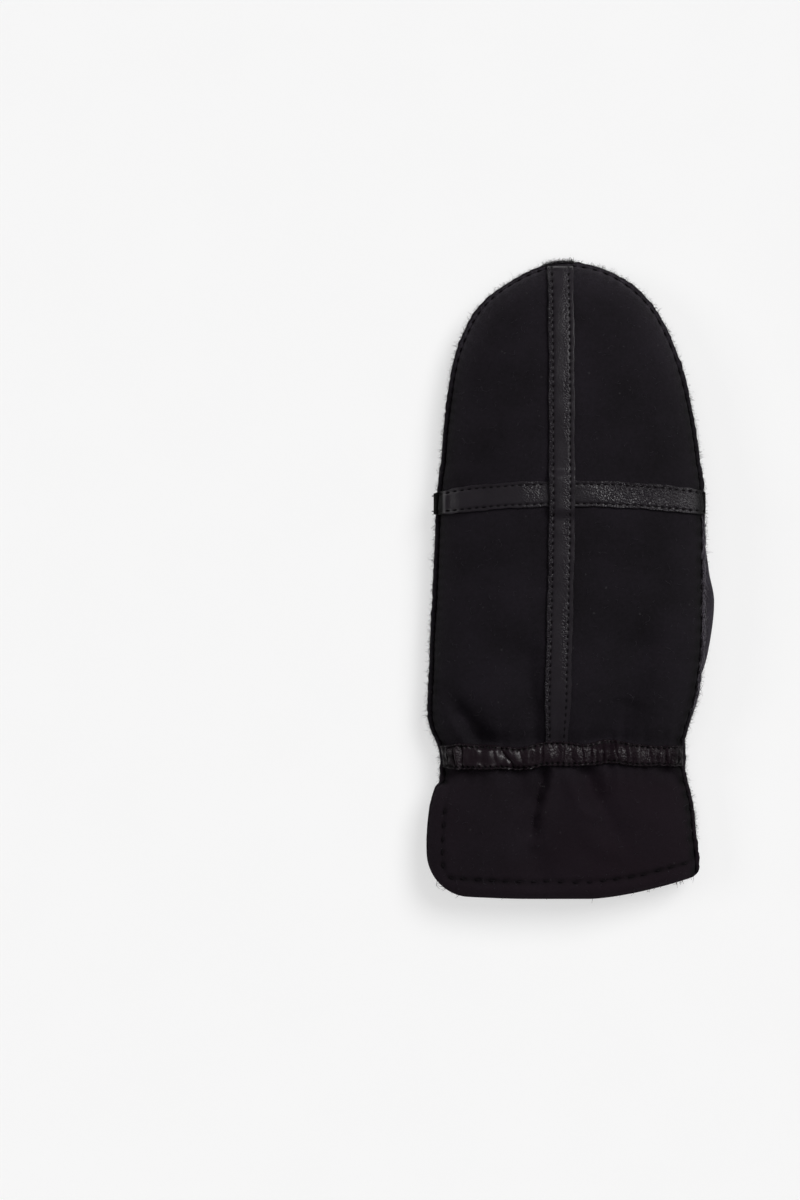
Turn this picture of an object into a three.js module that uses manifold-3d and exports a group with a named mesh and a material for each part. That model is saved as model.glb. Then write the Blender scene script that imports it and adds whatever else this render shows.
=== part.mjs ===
// A shearling mitten for the left hand, lying palm down. A suede back and palm are sewn together with their
// edges outward, so a thin lip runs round the hand. The thumb is sewn into the palm and folded under it,
// smooth leather straps cross the back, and a gathered band draws in the wrist above a flared cuff.
// Millimetres, with X to the thumb side, Y to the fingertips and Z up through the back of the hand.

import * as THREE from "three";
import { mergeVertices } from "three/addons/utils/BufferGeometryUtils.js";
import Module from "manifold-3d";

const wasm = await Module();
wasm.setup();

// Driving dimensions of the hand and the cuff.
const handLength = 210; // from the middle of the wrist band to the fingertips
const handWidth = 116;
const handDepth = 36; // as it lies, with the wool inside
const tipLength = 84; // the rounded end
const wristWidth = 104;
const wristDepth = 25;
const cuffLength = 60; // from the middle of the wrist band to the lowest point of the hem
const cuffWidth = 115;
const cuffDepth = 26;

// The suede and its edges.
const wall = 2.4;
const lip = 2.5; // from the stitches of the side seam to the cut edge
const gap = 0.3; // between pieces that touch
const flattening = 2.5; // how much deeper the palm would hang if nothing held it up
const hemWidth = 9;
const hemTurn = 1.4; // the turned edge, inside the cuff
const hemGroove = 0.8; // where the hem's stitches pull in
const hemGrooveWidth = 1.5;
const hemRounding = 1.2;
const ventTop = 11.5; // below the wrist band, where the side seam ends
const ventSpread = 5; // between the two panels below it
const ventRun = 10; // how far they take to part

// The thumb, which lies flat under the palm.
const thumbLength = 71; // from the middle of its mouth to its tip
const thumbWidth = 38;
const thumbDepth = 14;
const thumbMouthWidth = 27;
const thumbMouthLength = 26;
const thumbSide = 32; // from the middle of the hand to the middle of the mouth
const thumbRise = 40; // from the wrist to the middle of the mouth
const drapeRun = 16; // how far the palm takes to come down beside the thumb

// The smooth leather trim.
const strapWidth = 11;
const strapDepth = 1.2;
const strapEndPast = 1.2; // how far the ends stand past the lip
const centerStrapSide = 3.8; // from the middle of the hand, away from the thumb
const crossStrapRise = 110.8; // from the wrist, at the middle of the back
const crossStrapArch = 3.5; // how much lower its ends are
const bandWidth = 10.6;
const bandDepth = 2.2;
const bandEndDepth = 1.1;
const bandEdgeShare = 0.65; // of the band's depth, at its stitched edges
const bandRuffle = 0.6; // how far the ruffles stand up
const ruffles = 26; // on each side of the middle, counting hollows as well

const outlinePower = 2.2; // how square the rounded end is, seen from above
const sectionPower = 2.5; // how square the hand is, seen from the fingertips

// Half widths from the middle line, as shares of half of the width that each row follows. along runs from
// the hem at -1 through the wrist at 0 to the fingertips at 1, and past tipStart they are the widths that
// the rounding then draws in.
const outline = [
  { along: -1, of: cuffWidth, left: 1.03, right: 0.985 },
  { along: -0.78, of: cuffWidth, left: 1.038, right: 0.979 },
  { along: -0.59, of: cuffWidth, left: 1.042, right: 0.96 },
  { along: -0.38, of: cuffWidth, left: 1.023, right: 0.939 },
  { along: -0.27, of: cuffWidth, left: 0.995, right: 0.918 },
  { along: -0.22, of: cuffWidth, left: 0.976, right: 0.903 },
  { along: -0.18, of: wristWidth, left: 1.046, right: 0.987 },
  { along: -0.1, of: wristWidth, left: 1.042, right: 0.967 },
  { along: 0, of: wristWidth, left: 1.046, right: 0.962 },
  { along: 0.032, of: wristWidth, left: 1.079, right: 0.962 },
  { along: 0.048, of: wristWidth, left: 1.113, right: 0.979 },
  { along: 0.073, of: handWidth, left: 1.022, right: 0.902 },
  { along: 0.113, of: handWidth, left: 1.026, right: 0.945 },
  { along: 0.154, of: handWidth, left: 1.017, right: 0.971 },
  { along: 0.235, of: handWidth, left: 1.009, right: 1 },
  { along: 0.316, of: handWidth, left: 0.991, right: 1.003 },
  { along: 0.478, of: handWidth, left: 0.967, right: 1.002 },
  { along: 0.559, of: handWidth, left: 0.947, right: 0.988 },
  { along: 0.6, of: handWidth, left: 0.926, right: 0.966 },
  { along: 0.72, of: handWidth, left: 0.914, right: 0.93 },
  { along: 0.84, of: handWidth, left: 0.945, right: 0.922 },
  { along: 0.93, of: handWidth, left: 0.94, right: 0.93 },
  { along: 1, of: handWidth, left: 0.76, right: 0.88 },
];

// The heights along the mitten: the back as a share of the depth that each row follows, the seam as a share
// of the back, how far the thumb lifts the seam on its side (1 is right over it), and how far the palm is
// held off the surface by the wrist band under it.
const heights = [
  { along: -1, of: cuffDepth, back: 0.97, seam: 0.46, overThumb: 0, overBand: 0 },
  { along: -0.5, of: cuffDepth, back: 1, seam: 0.46, overThumb: 0.1, overBand: 0 },
  { along: -0.22, of: cuffDepth, back: 0.96, seam: 0.47, overThumb: 0.15, overBand: 0.4 },
  { along: -0.09, of: wristDepth, back: 0.98, seam: 0.47, overThumb: 0.25, overBand: 1 },
  { along: 0.025, of: wristDepth, back: 1, seam: 0.46, overThumb: 0.4, overBand: 1 },
  { along: 0.06, of: handDepth, back: 0.8, seam: 0.4, overThumb: 0.6, overBand: 0.5 },
  { along: 0.12, of: handDepth, back: 0.91, seam: 0.36, overThumb: 0.9, overBand: 0 },
  { along: 0.2, of: handDepth, back: 0.98, seam: 0.33, overThumb: 1, overBand: 0 },
  { along: 0.35, of: handDepth, back: 1, seam: 0.32, overThumb: 1, overBand: 0 },
  { along: 0.5, of: handDepth, back: 1, seam: 0.33, overThumb: 1, overBand: 0 },
  { along: 0.6, of: handDepth, back: 0.98, seam: 0.35, overThumb: 0.8, overBand: 0 },
  { along: 0.8, of: handDepth, back: 0.95, seam: 0.38, overThumb: 0.2, overBand: 0 },
  { along: 1, of: handDepth, back: 0.93, seam: 0.39, overThumb: 0, overBand: 0 },
];

// The folds of the back, each a valley along a straight line. across is a share of half the hand's width,
// and along runs as above. wide and deep are shares of the hand's depth.
const folds = [
  { fromAcross: -0.78, fromAlong: 0.125, toAcross: -0.45, toAlong: 0.045, wide: 0.13, deep: 0.1 },
  { fromAcross: -0.33, fromAlong: 0.19, toAcross: -0.19, toAlong: 0.107, wide: 0.18, deep: 0.05 },
  { fromAcross: -0.19, fromAlong: 0.107, toAcross: -0.14, toAlong: 0.04, wide: 0.16, deep: 0.07 },
  { fromAcross: 0.5, fromAlong: 0.178, toAcross: 0.43, toAlong: 0.1, wide: 0.17, deep: 0.06 },
  { fromAcross: 0.43, fromAlong: 0.1, toAcross: 0.3, toAlong: 0.04, wide: 0.15, deep: 0.07 },
  { fromAcross: -0.18, fromAlong: -0.13, toAcross: -0.22, toAlong: -0.34, wide: 0.12, deep: 0.12 },
  { fromAcross: -0.22, fromAlong: -0.34, toAcross: -0.27, toAlong: -0.6, wide: 0.12, deep: 0.11 },
  { fromAcross: 0.11, fromAlong: -0.13, toAcross: 0.19, toAlong: -0.29, wide: 0.13, deep: 0.07 },
  { fromAcross: 0.19, fromAlong: -0.29, toAcross: 0.27, toAlong: -0.44, wide: 0.14, deep: 0.05 },
  { fromAcross: -0.7, fromAlong: -0.13, toAcross: -0.84, toAlong: -0.2, wide: 0.1, deep: 0.05 },
  { fromAcross: 0.75, fromAlong: -0.13, toAcross: 0.84, toAlong: -0.2, wide: 0.1, deep: 0.05 },
];

// The hem rises from its lowest stretch towards each side, and its corners are rounded.
const hemLowest = -0.1; // across
const hemSides = {
  left: { start: 0.22, rise: 1.6, corner: 12 },
  right: { start: 0.05, rise: 9.5, corner: 5 },
};

// Rings of the thumb, from its mouth in the palm to its tip. Each ring spans from a low point to a top point:
// along is a share of the thumb's length from the middle of the mouth, height a share of its depth,
// across its middle's shift towards the outside, and half its half width, both shares of half its width.
const thumbRings = [
  { topAlong: 0.16, topHeight: 1, lowAlong: -0.29, lowHeight: 0.5, across: 0.17, half: 0.95 },
  { topAlong: 0.24, topHeight: 1, lowAlong: -0.19, lowHeight: 0.05, across: 0.36, half: 1 },
  { topAlong: 0.34, topHeight: 1, lowAlong: 0, lowHeight: 0, across: 0.51, half: 1 },
  { topAlong: 0.46, topHeight: 1, lowAlong: 0.24, lowHeight: 0, across: 0.59, half: 1 },
  { topAlong: 0.57, topHeight: 0.99, lowAlong: 0.46, lowHeight: 0, across: 0.57, half: 0.98 },
  { topAlong: 0.69, topHeight: 0.96, lowAlong: 0.66, lowHeight: 0, across: 0.5, half: 0.94 },
  { topAlong: 0.8, topHeight: 0.9, lowAlong: 0.8, lowHeight: 0.03, across: 0.43, half: 0.85 },
  { topAlong: 0.9, topHeight: 0.8, lowAlong: 0.9, lowHeight: 0.12, across: 0.38, half: 0.67 },
  { topAlong: 0.97, topHeight: 0.68, lowAlong: 0.97, lowHeight: 0.26, across: 0.35, half: 0.4 },
];
const thumbSides = 22;
const thumbPower = 2.6;

// From the seam at 1 to the middle line at 0, closer together where the surface turns over at the rim.
const reaches = [1, 0.995, 0.975, 0.935, 0.87, 0.78, 0.68, 0.57, 0.46, 0.35, 0.23, 0.11, 0];
const tipRibs = 20;
const handRows = 14;
const cuffRows = 8;

const tipStart = handLength - tipLength;

// Smooth values between the rows of a table, by the slope from each row's neighbours.
function fromTable(rows, along, column) {
  const at = THREE.MathUtils.clamp(along, rows[0].along, rows[rows.length - 1].along);
  let i = 0;
  while (i < rows.length - 2 && at > rows[i + 1].along) i += 1;
  const value = (k) => column(rows[THREE.MathUtils.clamp(k, 0, rows.length - 1)]);
  const place = (k) => rows[THREE.MathUtils.clamp(k, 0, rows.length - 1)].along;
  const slope = (k) => (value(k + 1) - value(k - 1)) / (place(k + 1) - place(k - 1));
  const span = place(i + 1) - place(i);
  const t = (at - place(i)) / span;
  const t2 = t * t;
  const t3 = t2 * t;
  return (
    (2 * t3 - 3 * t2 + 1) * value(i) +
    (t3 - 2 * t2 + t) * span * slope(i) +
    (3 * t2 - 2 * t3) * value(i + 1) +
    (t3 - t2) * span * slope(i + 1)
  );
}

const alongOf = (y) => (y < 0 ? y / cuffLength : y / handLength);
const yOf = (along) => (along < 0 ? along * cuffLength : along * handLength);

function halfWidth(side, y) {
  return fromTable(outline, alongOf(y), (row) => (row.of / 2) * (side < 0 ? row.left : row.right));
}

const squareness = (share, power) => Math.pow(Math.max(0, 1 - Math.pow(Math.abs(share), power)), 1 / power);

// How far a point lies from the middle line towards the edge: 0 in the middle and 1 at the outline less
// the inset.
function reachOf(x, y, inset) {
  const across = Math.abs(x) / (halfWidth(x, y) - inset);
  if (y <= tipStart) return across;
  const up = (y - tipStart) / (tipLength - inset);
  return Math.pow(Math.pow(across, outlinePower) + Math.pow(up, outlinePower), 1 / outlinePower);
}

// The height at which the back and the palm are sewn together. The thumb holds its own side up.
function seamHeight(x, y) {
  const along = alongOf(y);
  const own = fromTable(heights, along, (row) => row.of * row.back * row.seam);
  const overThumb = thumbDepth + gap + 2 * wall;
  const lifted = fromTable(heights, along, (row) => row.overThumb);
  const reach = Math.max(reachOf(x, y, lip), 1e-6);
  const sideways = THREE.MathUtils.clamp(x / (reach * halfWidth(x, y)), -1, 1);
  return own + Math.max(0, overThumb - own) * lifted * THREE.MathUtils.smoothstep(sideways, -1, 1);
}

// The side seam ends above the hem on the little finger's side, and the two panels part there.
function ventOpening(x, y) {
  if (x > 0) return 0;
  return (ventSpread / 2) * THREE.MathUtils.smoothstep(-y, ventTop, ventTop + ventRun);
}

function hemLine(x) {
  const side = x < 0 ? -1 : 1;
  const shape = side < 0 ? hemSides.left : hemSides.right;
  const edge = halfWidth(side, -cuffLength);
  const from = Math.abs(hemLowest) * edge + shape.start * edge;
  const climb = Math.max(0, (Math.abs(x) - from) / (edge - from));
  const left = shape.corner - Math.max(0, edge - Math.abs(x));
  const corner = left > 0 ? shape.corner - Math.sqrt(Math.max(0, shape.corner ** 2 - left ** 2)) : 0;
  return -cuffLength + shape.rise * climb ** 2 + corner;
}

// The turned hem: a groove along its stitches and a rounded edge, on the outside of the cuff.
function hemDip(x, y) {
  const fromHem = y - hemLine(x);
  const fromVent = x < 0 && y < -ventTop ? halfWidth(-1, y) + x : hemWidth * 3;
  const fromEdge = Math.min(fromHem, Math.max(fromVent, hemWidth / 2));
  const groove = hemGroove * Math.exp(-(((fromEdge - hemWidth) / hemGrooveWidth) ** 2));
  const rounding = hemRounding * Math.max(0, 1 - fromHem / (hemWidth / 3)) ** 2;
  return groove + rounding;
}

function hemThickness(x, y) {
  return hemTurn * (1 - THREE.MathUtils.smoothstep(y - hemLine(x), hemWidth * 0.8, hemWidth * 1.2));
}

// The folds die out beside the middle strap and the wrist band, whose stitches hold the suede.
function foldDepth(x, y) {
  const fromStrap = y > 0 ? Math.abs(x + centerStrapSide) : strapWidth * 2;
  const offStrap = THREE.MathUtils.smoothstep(fromStrap, strapWidth * 0.6, strapWidth * 1.5);
  const offBand = THREE.MathUtils.smoothstep(Math.abs(y), bandWidth * 0.3, bandWidth * 0.9);
  const point = new THREE.Vector3(x, y, 0);
  const nearest = new THREE.Vector3();
  let deepest = 0;
  for (const fold of folds) {
    const line = new THREE.Line3(
      new THREE.Vector3((fold.fromAcross * handWidth) / 2, yOf(fold.fromAlong), 0),
      new THREE.Vector3((fold.toAcross * handWidth) / 2, yOf(fold.toAlong), 0),
    );
    line.closestPointToPoint(point, true, nearest);
    const away = nearest.distanceTo(point) / (fold.wide * handDepth);
    deepest = Math.max(deepest, fold.deep * handDepth * Math.exp(-(away ** 2)));
  }
  return deepest * offStrap * offBand;
}

const lipTop = (x, y) => seamHeight(x, y) + gap / 2 + wall + ventOpening(x, y);
const lipBottom = (x, y) => seamHeight(x, y) - gap / 2 - wall - ventOpening(x, y);
const backTop = (y) => fromTable(heights, alongOf(y), (row) => row.of * row.back);
const bandRoom = bandDepth + bandRuffle + 2 * gap;
const palmRest = (y) => bandRoom * fromTable(heights, alongOf(y), (row) => row.overBand);

// The outside of the back. grow moves it outward, for what lies on it.
function backHeight(x, y, grow = 0) {
  const base = lipTop(x, y) + grow;
  const reach = reachOf(x, y, lip - grow);
  const dips = (foldDepth(x, y) + hemDip(x, y)) * (1 - Math.min(1, reach) ** 6);
  return base + (backTop(y) + grow - base) * squareness(Math.min(1, reach), sectionPower) - dips;
}

function backInside(x, y) {
  const base = lipTop(x, y) - wall;
  const reach = Math.min(1, reachOf(x, y, lip + wall));
  const dips = (foldDepth(x, y) + hemThickness(x, y)) * (1 - reach ** 6);
  return base + (backTop(y) - wall - base) * squareness(reach, sectionPower) - dips;
}

// The plan of the thumb as it lies: the middles of its rings, with their half widths.
const thumbPlan = thumbRings.map((ring) => ({
  x: thumbSide + (ring.across * thumbWidth) / 2,
  y: thumbRise + ((ring.topAlong + ring.lowAlong) / 2) * thumbLength,
  half: (ring.half * thumbWidth) / 2,
}));
thumbPlan.unshift({ x: thumbSide, y: thumbRise, half: thumbMouthWidth / 2 + wall + lip });

function awayFromThumb(x, y) {
  let nearest = Infinity;
  for (let i = 0; i + 1 < thumbPlan.length; i += 1) {
    const a = thumbPlan[i];
    const b = thumbPlan[i + 1];
    const dx = b.x - a.x;
    const dy = b.y - a.y;
    const t = THREE.MathUtils.clamp(((x - a.x) * dx + (y - a.y) * dy) / (dx * dx + dy * dy), 0, 1);
    const half = THREE.MathUtils.lerp(a.half, b.half, t);
    nearest = Math.min(nearest, Math.hypot(x - a.x - t * dx, y - a.y - t * dy) - half);
  }
  return nearest;
}

// The palm hangs over the thumb that lies under it.
function thumbDrape(x, y) {
  const clear = wall;
  return (thumbDepth + gap) * (1 - THREE.MathUtils.smoothstep(awayFromThumb(x, y), clear, clear + drapeRun));
}

// The outside of the palm, which faces down. grow moves it outward.
function palmHeight(x, y, grow = 0) {
  const base = lipBottom(x, y) - grow;
  const rest = palmRest(y) - grow;
  const reach = Math.min(1, reachOf(x, y, lip - grow));
  const hang = (base - rest + flattening) * squareness(reach, sectionPower);
  const held = Math.max(rest, thumbDrape(x, y) - grow);
  return Math.max(base - hang + hemDip(x, y) * (1 - reach ** 6), Math.min(held, base));
}

function palmInside(x, y) {
  const base = lipBottom(x, y) + wall;
  const rest = palmRest(y) + wall + hemThickness(x, y);
  const reach = Math.min(1, reachOf(x, y, lip + wall));
  const hang = (base - rest + flattening) * squareness(reach, sectionPower);
  const held = Math.max(rest, thumbDrape(x, y) + wall);
  return Math.max(base - hang, Math.min(held, base));
}

// The ribs of a panel run from its edge to the middle line: up the little finger's side, round the fingertips,
// where they all meet at one point, and down the thumb's side. where() places a point of a rib.
function panelRibs() {
  const rows = [];
  for (const share of [0, 0.12, 0.35, 0.75, 1, 1.3]) rows.push(-cuffLength + share * hemWidth);
  const bandEdge = bandWidth / 2;
  for (let i = 1; i <= cuffRows; i += 1) {
    rows.push(THREE.MathUtils.lerp(-cuffLength + 1.3 * hemWidth, -bandEdge, i / cuffRows));
  }
  rows.push(bandEdge);
  for (let i = 1; i <= handRows; i += 1) {
    rows.push(THREE.MathUtils.lerp(bandEdge, tipStart, (i / handRows) ** 1.2));
  }
  const ribs = rows.map((y, row) => ({ side: -1, y, row }));
  for (let i = 1; i < tipRibs; i += 1) ribs.push({ turn: (Math.PI * i) / tipRibs, row: rows.length - 1 });
  for (let row = rows.length - 1; row >= 0; row -= 1) ribs.push({ side: 1, y: rows[row], row });
  return ribs;
}

function where(rib, reach, inset) {
  if (rib.turn === undefined) {
    const nominal = rib.side * reach * (halfWidth(rib.side, rib.y) - inset);
    const fade = Math.max(0, -rib.y / cuffLength) ** 2.5;
    const y = rib.y + (hemLine(nominal) + cuffLength) * fade;
    return { x: rib.side * reach * (halfWidth(rib.side, y) - inset), y };
  }
  const cos = Math.cos(rib.turn);
  const y = tipStart + reach * (tipLength - inset) * Math.sin(rib.turn) ** (2 / outlinePower);
  const across = Math.abs(cos) ** (2 / outlinePower) * (halfWidth(-cos, y) - inset);
  return { x: -Math.sign(cos) * reach * across, y };
}

// A closed panel between an upper and a lower surface. Each surface gives its inset at the seam, its height
// on the lip, and its height inside the seam.
function panelGeometry(upper, lower) {
  const ribs = panelRibs();
  const points = [];
  const faces = [];
  const keep = (x, y, z) => points.push(x, y, z) / 3 - 1;
  const gridOf = (surface) => {
    const middles = new Map();
    return ribs.map((rib) => {
      const edge = where(rib, 1, 0);
      const ids = [keep(edge.x, edge.y, surface.lipHeight(edge.x, edge.y))];
      for (const reach of reaches) {
        const { x, y } = where(rib, reach, surface.inset);
        if (reach > 0) ids.push(keep(x, y, surface.height(x, y)));
        else {
          if (!middles.has(rib.row)) middles.set(rib.row, keep(0, y, surface.height(0, y)));
          ids.push(middles.get(rib.row));
        }
      }
      return ids;
    });
  };
  const quad = (a, b, c, d) => {
    faces.push(a, b, c);
    if (c !== d) faces.push(a, c, d);
  };
  const top = gridOf(upper);
  const bottom = gridOf(lower);
  const last = ribs.length - 1;
  for (let i = 0; i < last; i += 1) {
    for (let j = 0; j < reaches.length; j += 1) {
      quad(top[i + 1][j], top[i][j], top[i][j + 1], top[i + 1][j + 1]);
      quad(bottom[i][j], bottom[i + 1][j], bottom[i + 1][j + 1], bottom[i][j + 1]);
    }
    quad(top[i][0], top[i + 1][0], bottom[i + 1][0], bottom[i][0]);
  }
  for (let j = 0; j < reaches.length; j += 1) {
    quad(top[0][j + 1], top[0][j], bottom[0][j], bottom[0][j + 1]);
    quad(top[last][j], top[last][j + 1], bottom[last][j + 1], bottom[last][j]);
  }
  return closedGeometry(points, faces);
}

// A geometry from points and faces, turned so that its faces point out.
function closedGeometry(points, faces) {
  const corner = (i) => new THREE.Vector3().fromArray(points, 3 * faces[i]);
  let volume = 0;
  for (let i = 0; i < faces.length; i += 3) {
    volume += corner(i).dot(corner(i + 1).cross(corner(i + 2)));
  }
  const facing = volume < 0 ? faces.toReversed() : faces;
  const geometry = new THREE.BufferGeometry();
  geometry.setAttribute("position", new THREE.Float32BufferAttribute(points, 3));
  geometry.setIndex(facing);
  return geometry;
}

// A body through a row of rings with equal numbers of points. A closed row meets itself, like a tube's wall.
function loftGeometry(rings, meetsItself = false) {
  const count = rings[0].length;
  const points = rings.flat().flatMap((point) => point.toArray());
  const faces = [];
  const spans = meetsItself ? rings.length : rings.length - 1;
  for (let i = 0; i < spans; i += 1) {
    const next = (i + 1) % rings.length;
    for (let j = 0; j < count; j += 1) {
      const k = (j + 1) % count;
      const [a, b, c, d] = [i * count + j, i * count + k, next * count + k, next * count + j];
      faces.push(a, b, c, a, c, d);
    }
  }
  if (!meetsItself) {
    const end = (rings.length - 1) * count;
    for (let j = 1; j + 1 < count; j += 1) {
      faces.push(0, j + 1, j, end, end + j, end + j + 1);
    }
  }
  return closedGeometry(points, faces);
}

function solidOf(geometry) {
  const bare = new THREE.BufferGeometry();
  bare.setAttribute("position", geometry.getAttribute("position"));
  if (geometry.index) bare.setIndex(geometry.index);
  const merged = mergeVertices(bare, 1e-4);
  return new wasm.Manifold(
    new wasm.Mesh({
      numProp: 3,
      vertProperties: merged.attributes.position.array,
      triVerts: new Uint32Array(merged.index.array),
    }),
  );
}

function geometryOf(solid) {
  const mesh = solid.getMesh();
  const geometry = new THREE.BufferGeometry();
  geometry.setAttribute("position", new THREE.BufferAttribute(mesh.vertProperties, 3));
  geometry.setIndex(new THREE.BufferAttribute(mesh.triVerts, 1));
  return geometry;
}

function backPanel() {
  return panelGeometry(
    { inset: lip, lipHeight: lipTop, height: backHeight },
    { inset: lip + wall, lipHeight: (x, y) => lipTop(x, y) - wall, height: backInside },
  );
}

// The palm is cut through where the thumb is sewn in.
function palmPanel() {
  const panel = panelGeometry(
    { inset: lip + wall, lipHeight: (x, y) => lipBottom(x, y) + wall, height: palmInside },
    { inset: lip, lipHeight: lipBottom, height: palmHeight },
  );
  const hole = new THREE.Shape();
  hole.absellipse(thumbSide, thumbRise, thumbMouthWidth / 2, thumbMouthLength / 2, 0, 2 * Math.PI);
  const cutter = new THREE.ExtrudeGeometry(hole, {
    depth: handDepth,
    bevelEnabled: false,
    curveSegments: thumbSides,
  });
  return geometryOf(solidOf(panel).subtract(solidOf(cutter)));
}

// One ring of the thumb. thinner draws it in from the outside, for the inner face of the wall.
function thumbRing(ring, thinner) {
  const top = new THREE.Vector3(0, thumbRise + ring.topAlong * thumbLength, ring.topHeight * thumbDepth);
  const low = new THREE.Vector3(0, thumbRise + ring.lowAlong * thumbLength, ring.lowHeight * thumbDepth);
  const middle = top.clone().add(low).multiplyScalar(0.5);
  const spoke = top.clone().sub(middle);
  const upright = spoke.length() - thinner;
  spoke.setLength(upright);
  const half = (ring.half * thumbWidth) / 2 - thinner;
  const x = thumbSide + (ring.across * thumbWidth) / 2;
  const loop = [];
  for (let i = 0; i < thumbSides; i += 1) {
    const turn = (2 * Math.PI * i) / thumbSides;
    const across = Math.sign(Math.cos(turn)) * Math.abs(Math.cos(turn)) ** (2 / thumbPower);
    const up = Math.sign(Math.sin(turn)) * Math.abs(Math.sin(turn)) ** (2 / thumbPower);
    loop.push(middle.clone().addScaledVector(spoke, up).add(new THREE.Vector3(x + half * across, 0, 0)));
  }
  return loop;
}

// The thumb is a tube with a closed tip: out along its outside and back along the inside.
function thumb() {
  const mouthRing = (thinner) => {
    const loop = [];
    for (let i = 0; i < thumbSides; i += 1) {
      const turn = (2 * Math.PI * i) / thumbSides;
      const across = (thumbMouthWidth / 2 + wall - thinner) * Math.cos(turn);
      const up = (thumbMouthLength / 2 + wall - thinner) * Math.sin(turn);
      loop.push(new THREE.Vector3(thumbSide + across, thumbRise + up, thumbDepth));
    }
    return loop;
  };
  const tipEnd = { ...thumbRings[thumbRings.length - 1], topAlong: 1, lowAlong: 1, half: 0.12 };
  tipEnd.topHeight = 0.5;
  tipEnd.lowHeight = 0.42;
  const outside = [mouthRing(0), ...thumbRings.map((ring) => thumbRing(ring, 0)), thumbRing(tipEnd, 0)];
  const innerRings = thumbRings.slice(0, -1);
  const inside = [mouthRing(wall), ...innerRings.map((ring) => thumbRing(ring, wall))];
  const shell = solidOf(loftGeometry(outside)).subtract(solidOf(loftGeometry(inside)));
  return geometryOf(shell);
}

// The section of a strip that lies on a surface, between its two long edges: flat below, crowned above.
function stripRing(place, under, over, crown) {
  const shoulder = 0.55;
  return [
    place(-1, under),
    place(1, under),
    place(1, over),
    place(shoulder, over + crown),
    place(-shoulder, over + crown),
    place(-1, over),
  ];
}

const strapCrown = 0.3;
const strapUnder = gap;
const strapOver = gap + strapDepth - strapCrown;

// The middle strap passes over the other one, down the rounded end and out over the lip.
function centerStrap() {
  const start = bandWidth / 2 + gap;
  const rings = [];
  const bridge = (y) => {
    const away = Math.abs(y - crossStrapRise);
    return (strapDepth + gap) * (1 - THREE.MathUtils.smoothstep(away, strapWidth * 0.6, strapWidth * 1.2));
  };
  const placeAt = (yOfGrow) => (edge, grow) => {
    const y = yOfGrow(grow);
    const x = -centerStrapSide + (edge * strapWidth) / 2;
    const raised = grow + bridge(y);
    return new THREE.Vector3(x, y, backHeight(x, y, raised));
  };
  const steps = 30;
  for (let i = 0; i < steps; i += 1) {
    const y = THREE.MathUtils.lerp(start, tipStart, i / steps);
    rings.push(stripRing(placeAt(() => y), strapUnder, strapOver, strapCrown));
  }
  for (const reach of reaches.toReversed()) {
    const down = (grow) => tipStart + reach * (tipLength - lip + grow);
    rings.push(stripRing(placeAt(down), strapUnder, strapOver, strapCrown));
  }
  const end = () => handLength + strapEndPast;
  rings.push(stripRing(placeAt(end), strapUnder, strapOver, strapCrown));
  return loftGeometry(rings);
}

// A strip across the mitten from one lip to the other, along the middles that middleY gives. Between two of
// the panel's own columns it lies along the straight line from one to the other, as the panel does.
function acrossRings(shares, middleY, width, height, thickness, endPast) {
  const ringAt = (side, reach, past) => {
    const { under, over, crown } = thickness(side * reach);
    const next = Math.max(1, reaches.findIndex((share) => share <= reach + 1e-9));
    const [outer, inner] = [reaches[next - 1], reaches[next]];
    const placeAt = (share, edge, grow) => {
      const y = middleY(side * share) + (edge * width) / 2;
      const x = side * (share * (halfWidth(side, y) - lip + grow) + (past ? lip - grow + endPast : 0));
      return new THREE.Vector3(x, y, height(x, y, grow));
    };
    const place = (edge, grow) => {
      const inward = (outer - reach) / (outer - inner);
      return placeAt(outer, edge, grow).lerp(placeAt(inner, edge, grow), inward);
    };
    return stripRing(place, under, over, crown);
  };
  const down = shares.filter((reach) => reach > 0);
  const rings = [...down.map((reach) => ringAt(-1, reach, false)), ringAt(1, 0, false)];
  rings.push(...down.toReversed().map((reach) => ringAt(1, reach, false)));
  if (endPast > 0) {
    rings.unshift(ringAt(-1, 1, true));
    rings.push(ringAt(1, 1, true));
  }
  return rings;
}

function crossStrap() {
  const middleY = (across) => crossStrapRise - crossStrapArch * across ** 2;
  const thickness = () => ({ under: strapUnder, over: strapOver, crown: strapCrown });
  return loftGeometry(acrossRings(reaches, middleY, strapWidth, backHeight, thickness, strapEndPast));
}

// The gathered band stands in ruffles that die out at the side seams.
function wristBand(height) {
  const ruffled = 0.92;
  const shares = reaches.filter((reach) => reach > ruffled);
  for (let i = ruffles - 1; i >= 0; i -= 1) shares.push((ruffled * i) / ruffles);
  const thickness = (across) => {
    const inward = 1 - Math.abs(across) ** 8;
    const wave = 0.5 + 0.5 * Math.cos((Math.PI * ruffles * across) / ruffled);
    const depth = THREE.MathUtils.lerp(bandEndDepth, bandDepth, inward);
    const edgeDepth = bandEdgeShare * depth;
    return { under: gap, over: gap + edgeDepth, crown: depth - edgeDepth + bandRuffle * wave * inward };
  };
  return loftGeometry(acrossRings(shares, () => 0, bandWidth, height, thickness, 0));
}

const suede = { color: 0x1b181c, roughness: 0.95, metalness: 0 };
const smoothLeather = { color: 0x27242a, roughness: 0.5, metalness: 0 };

function piece(name, geometry, finish) {
  geometry.computeVertexNormals();
  const mesh = new THREE.Mesh(geometry, new THREE.MeshStandardMaterial(finish));
  mesh.name = name;
  return mesh;
}

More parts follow.
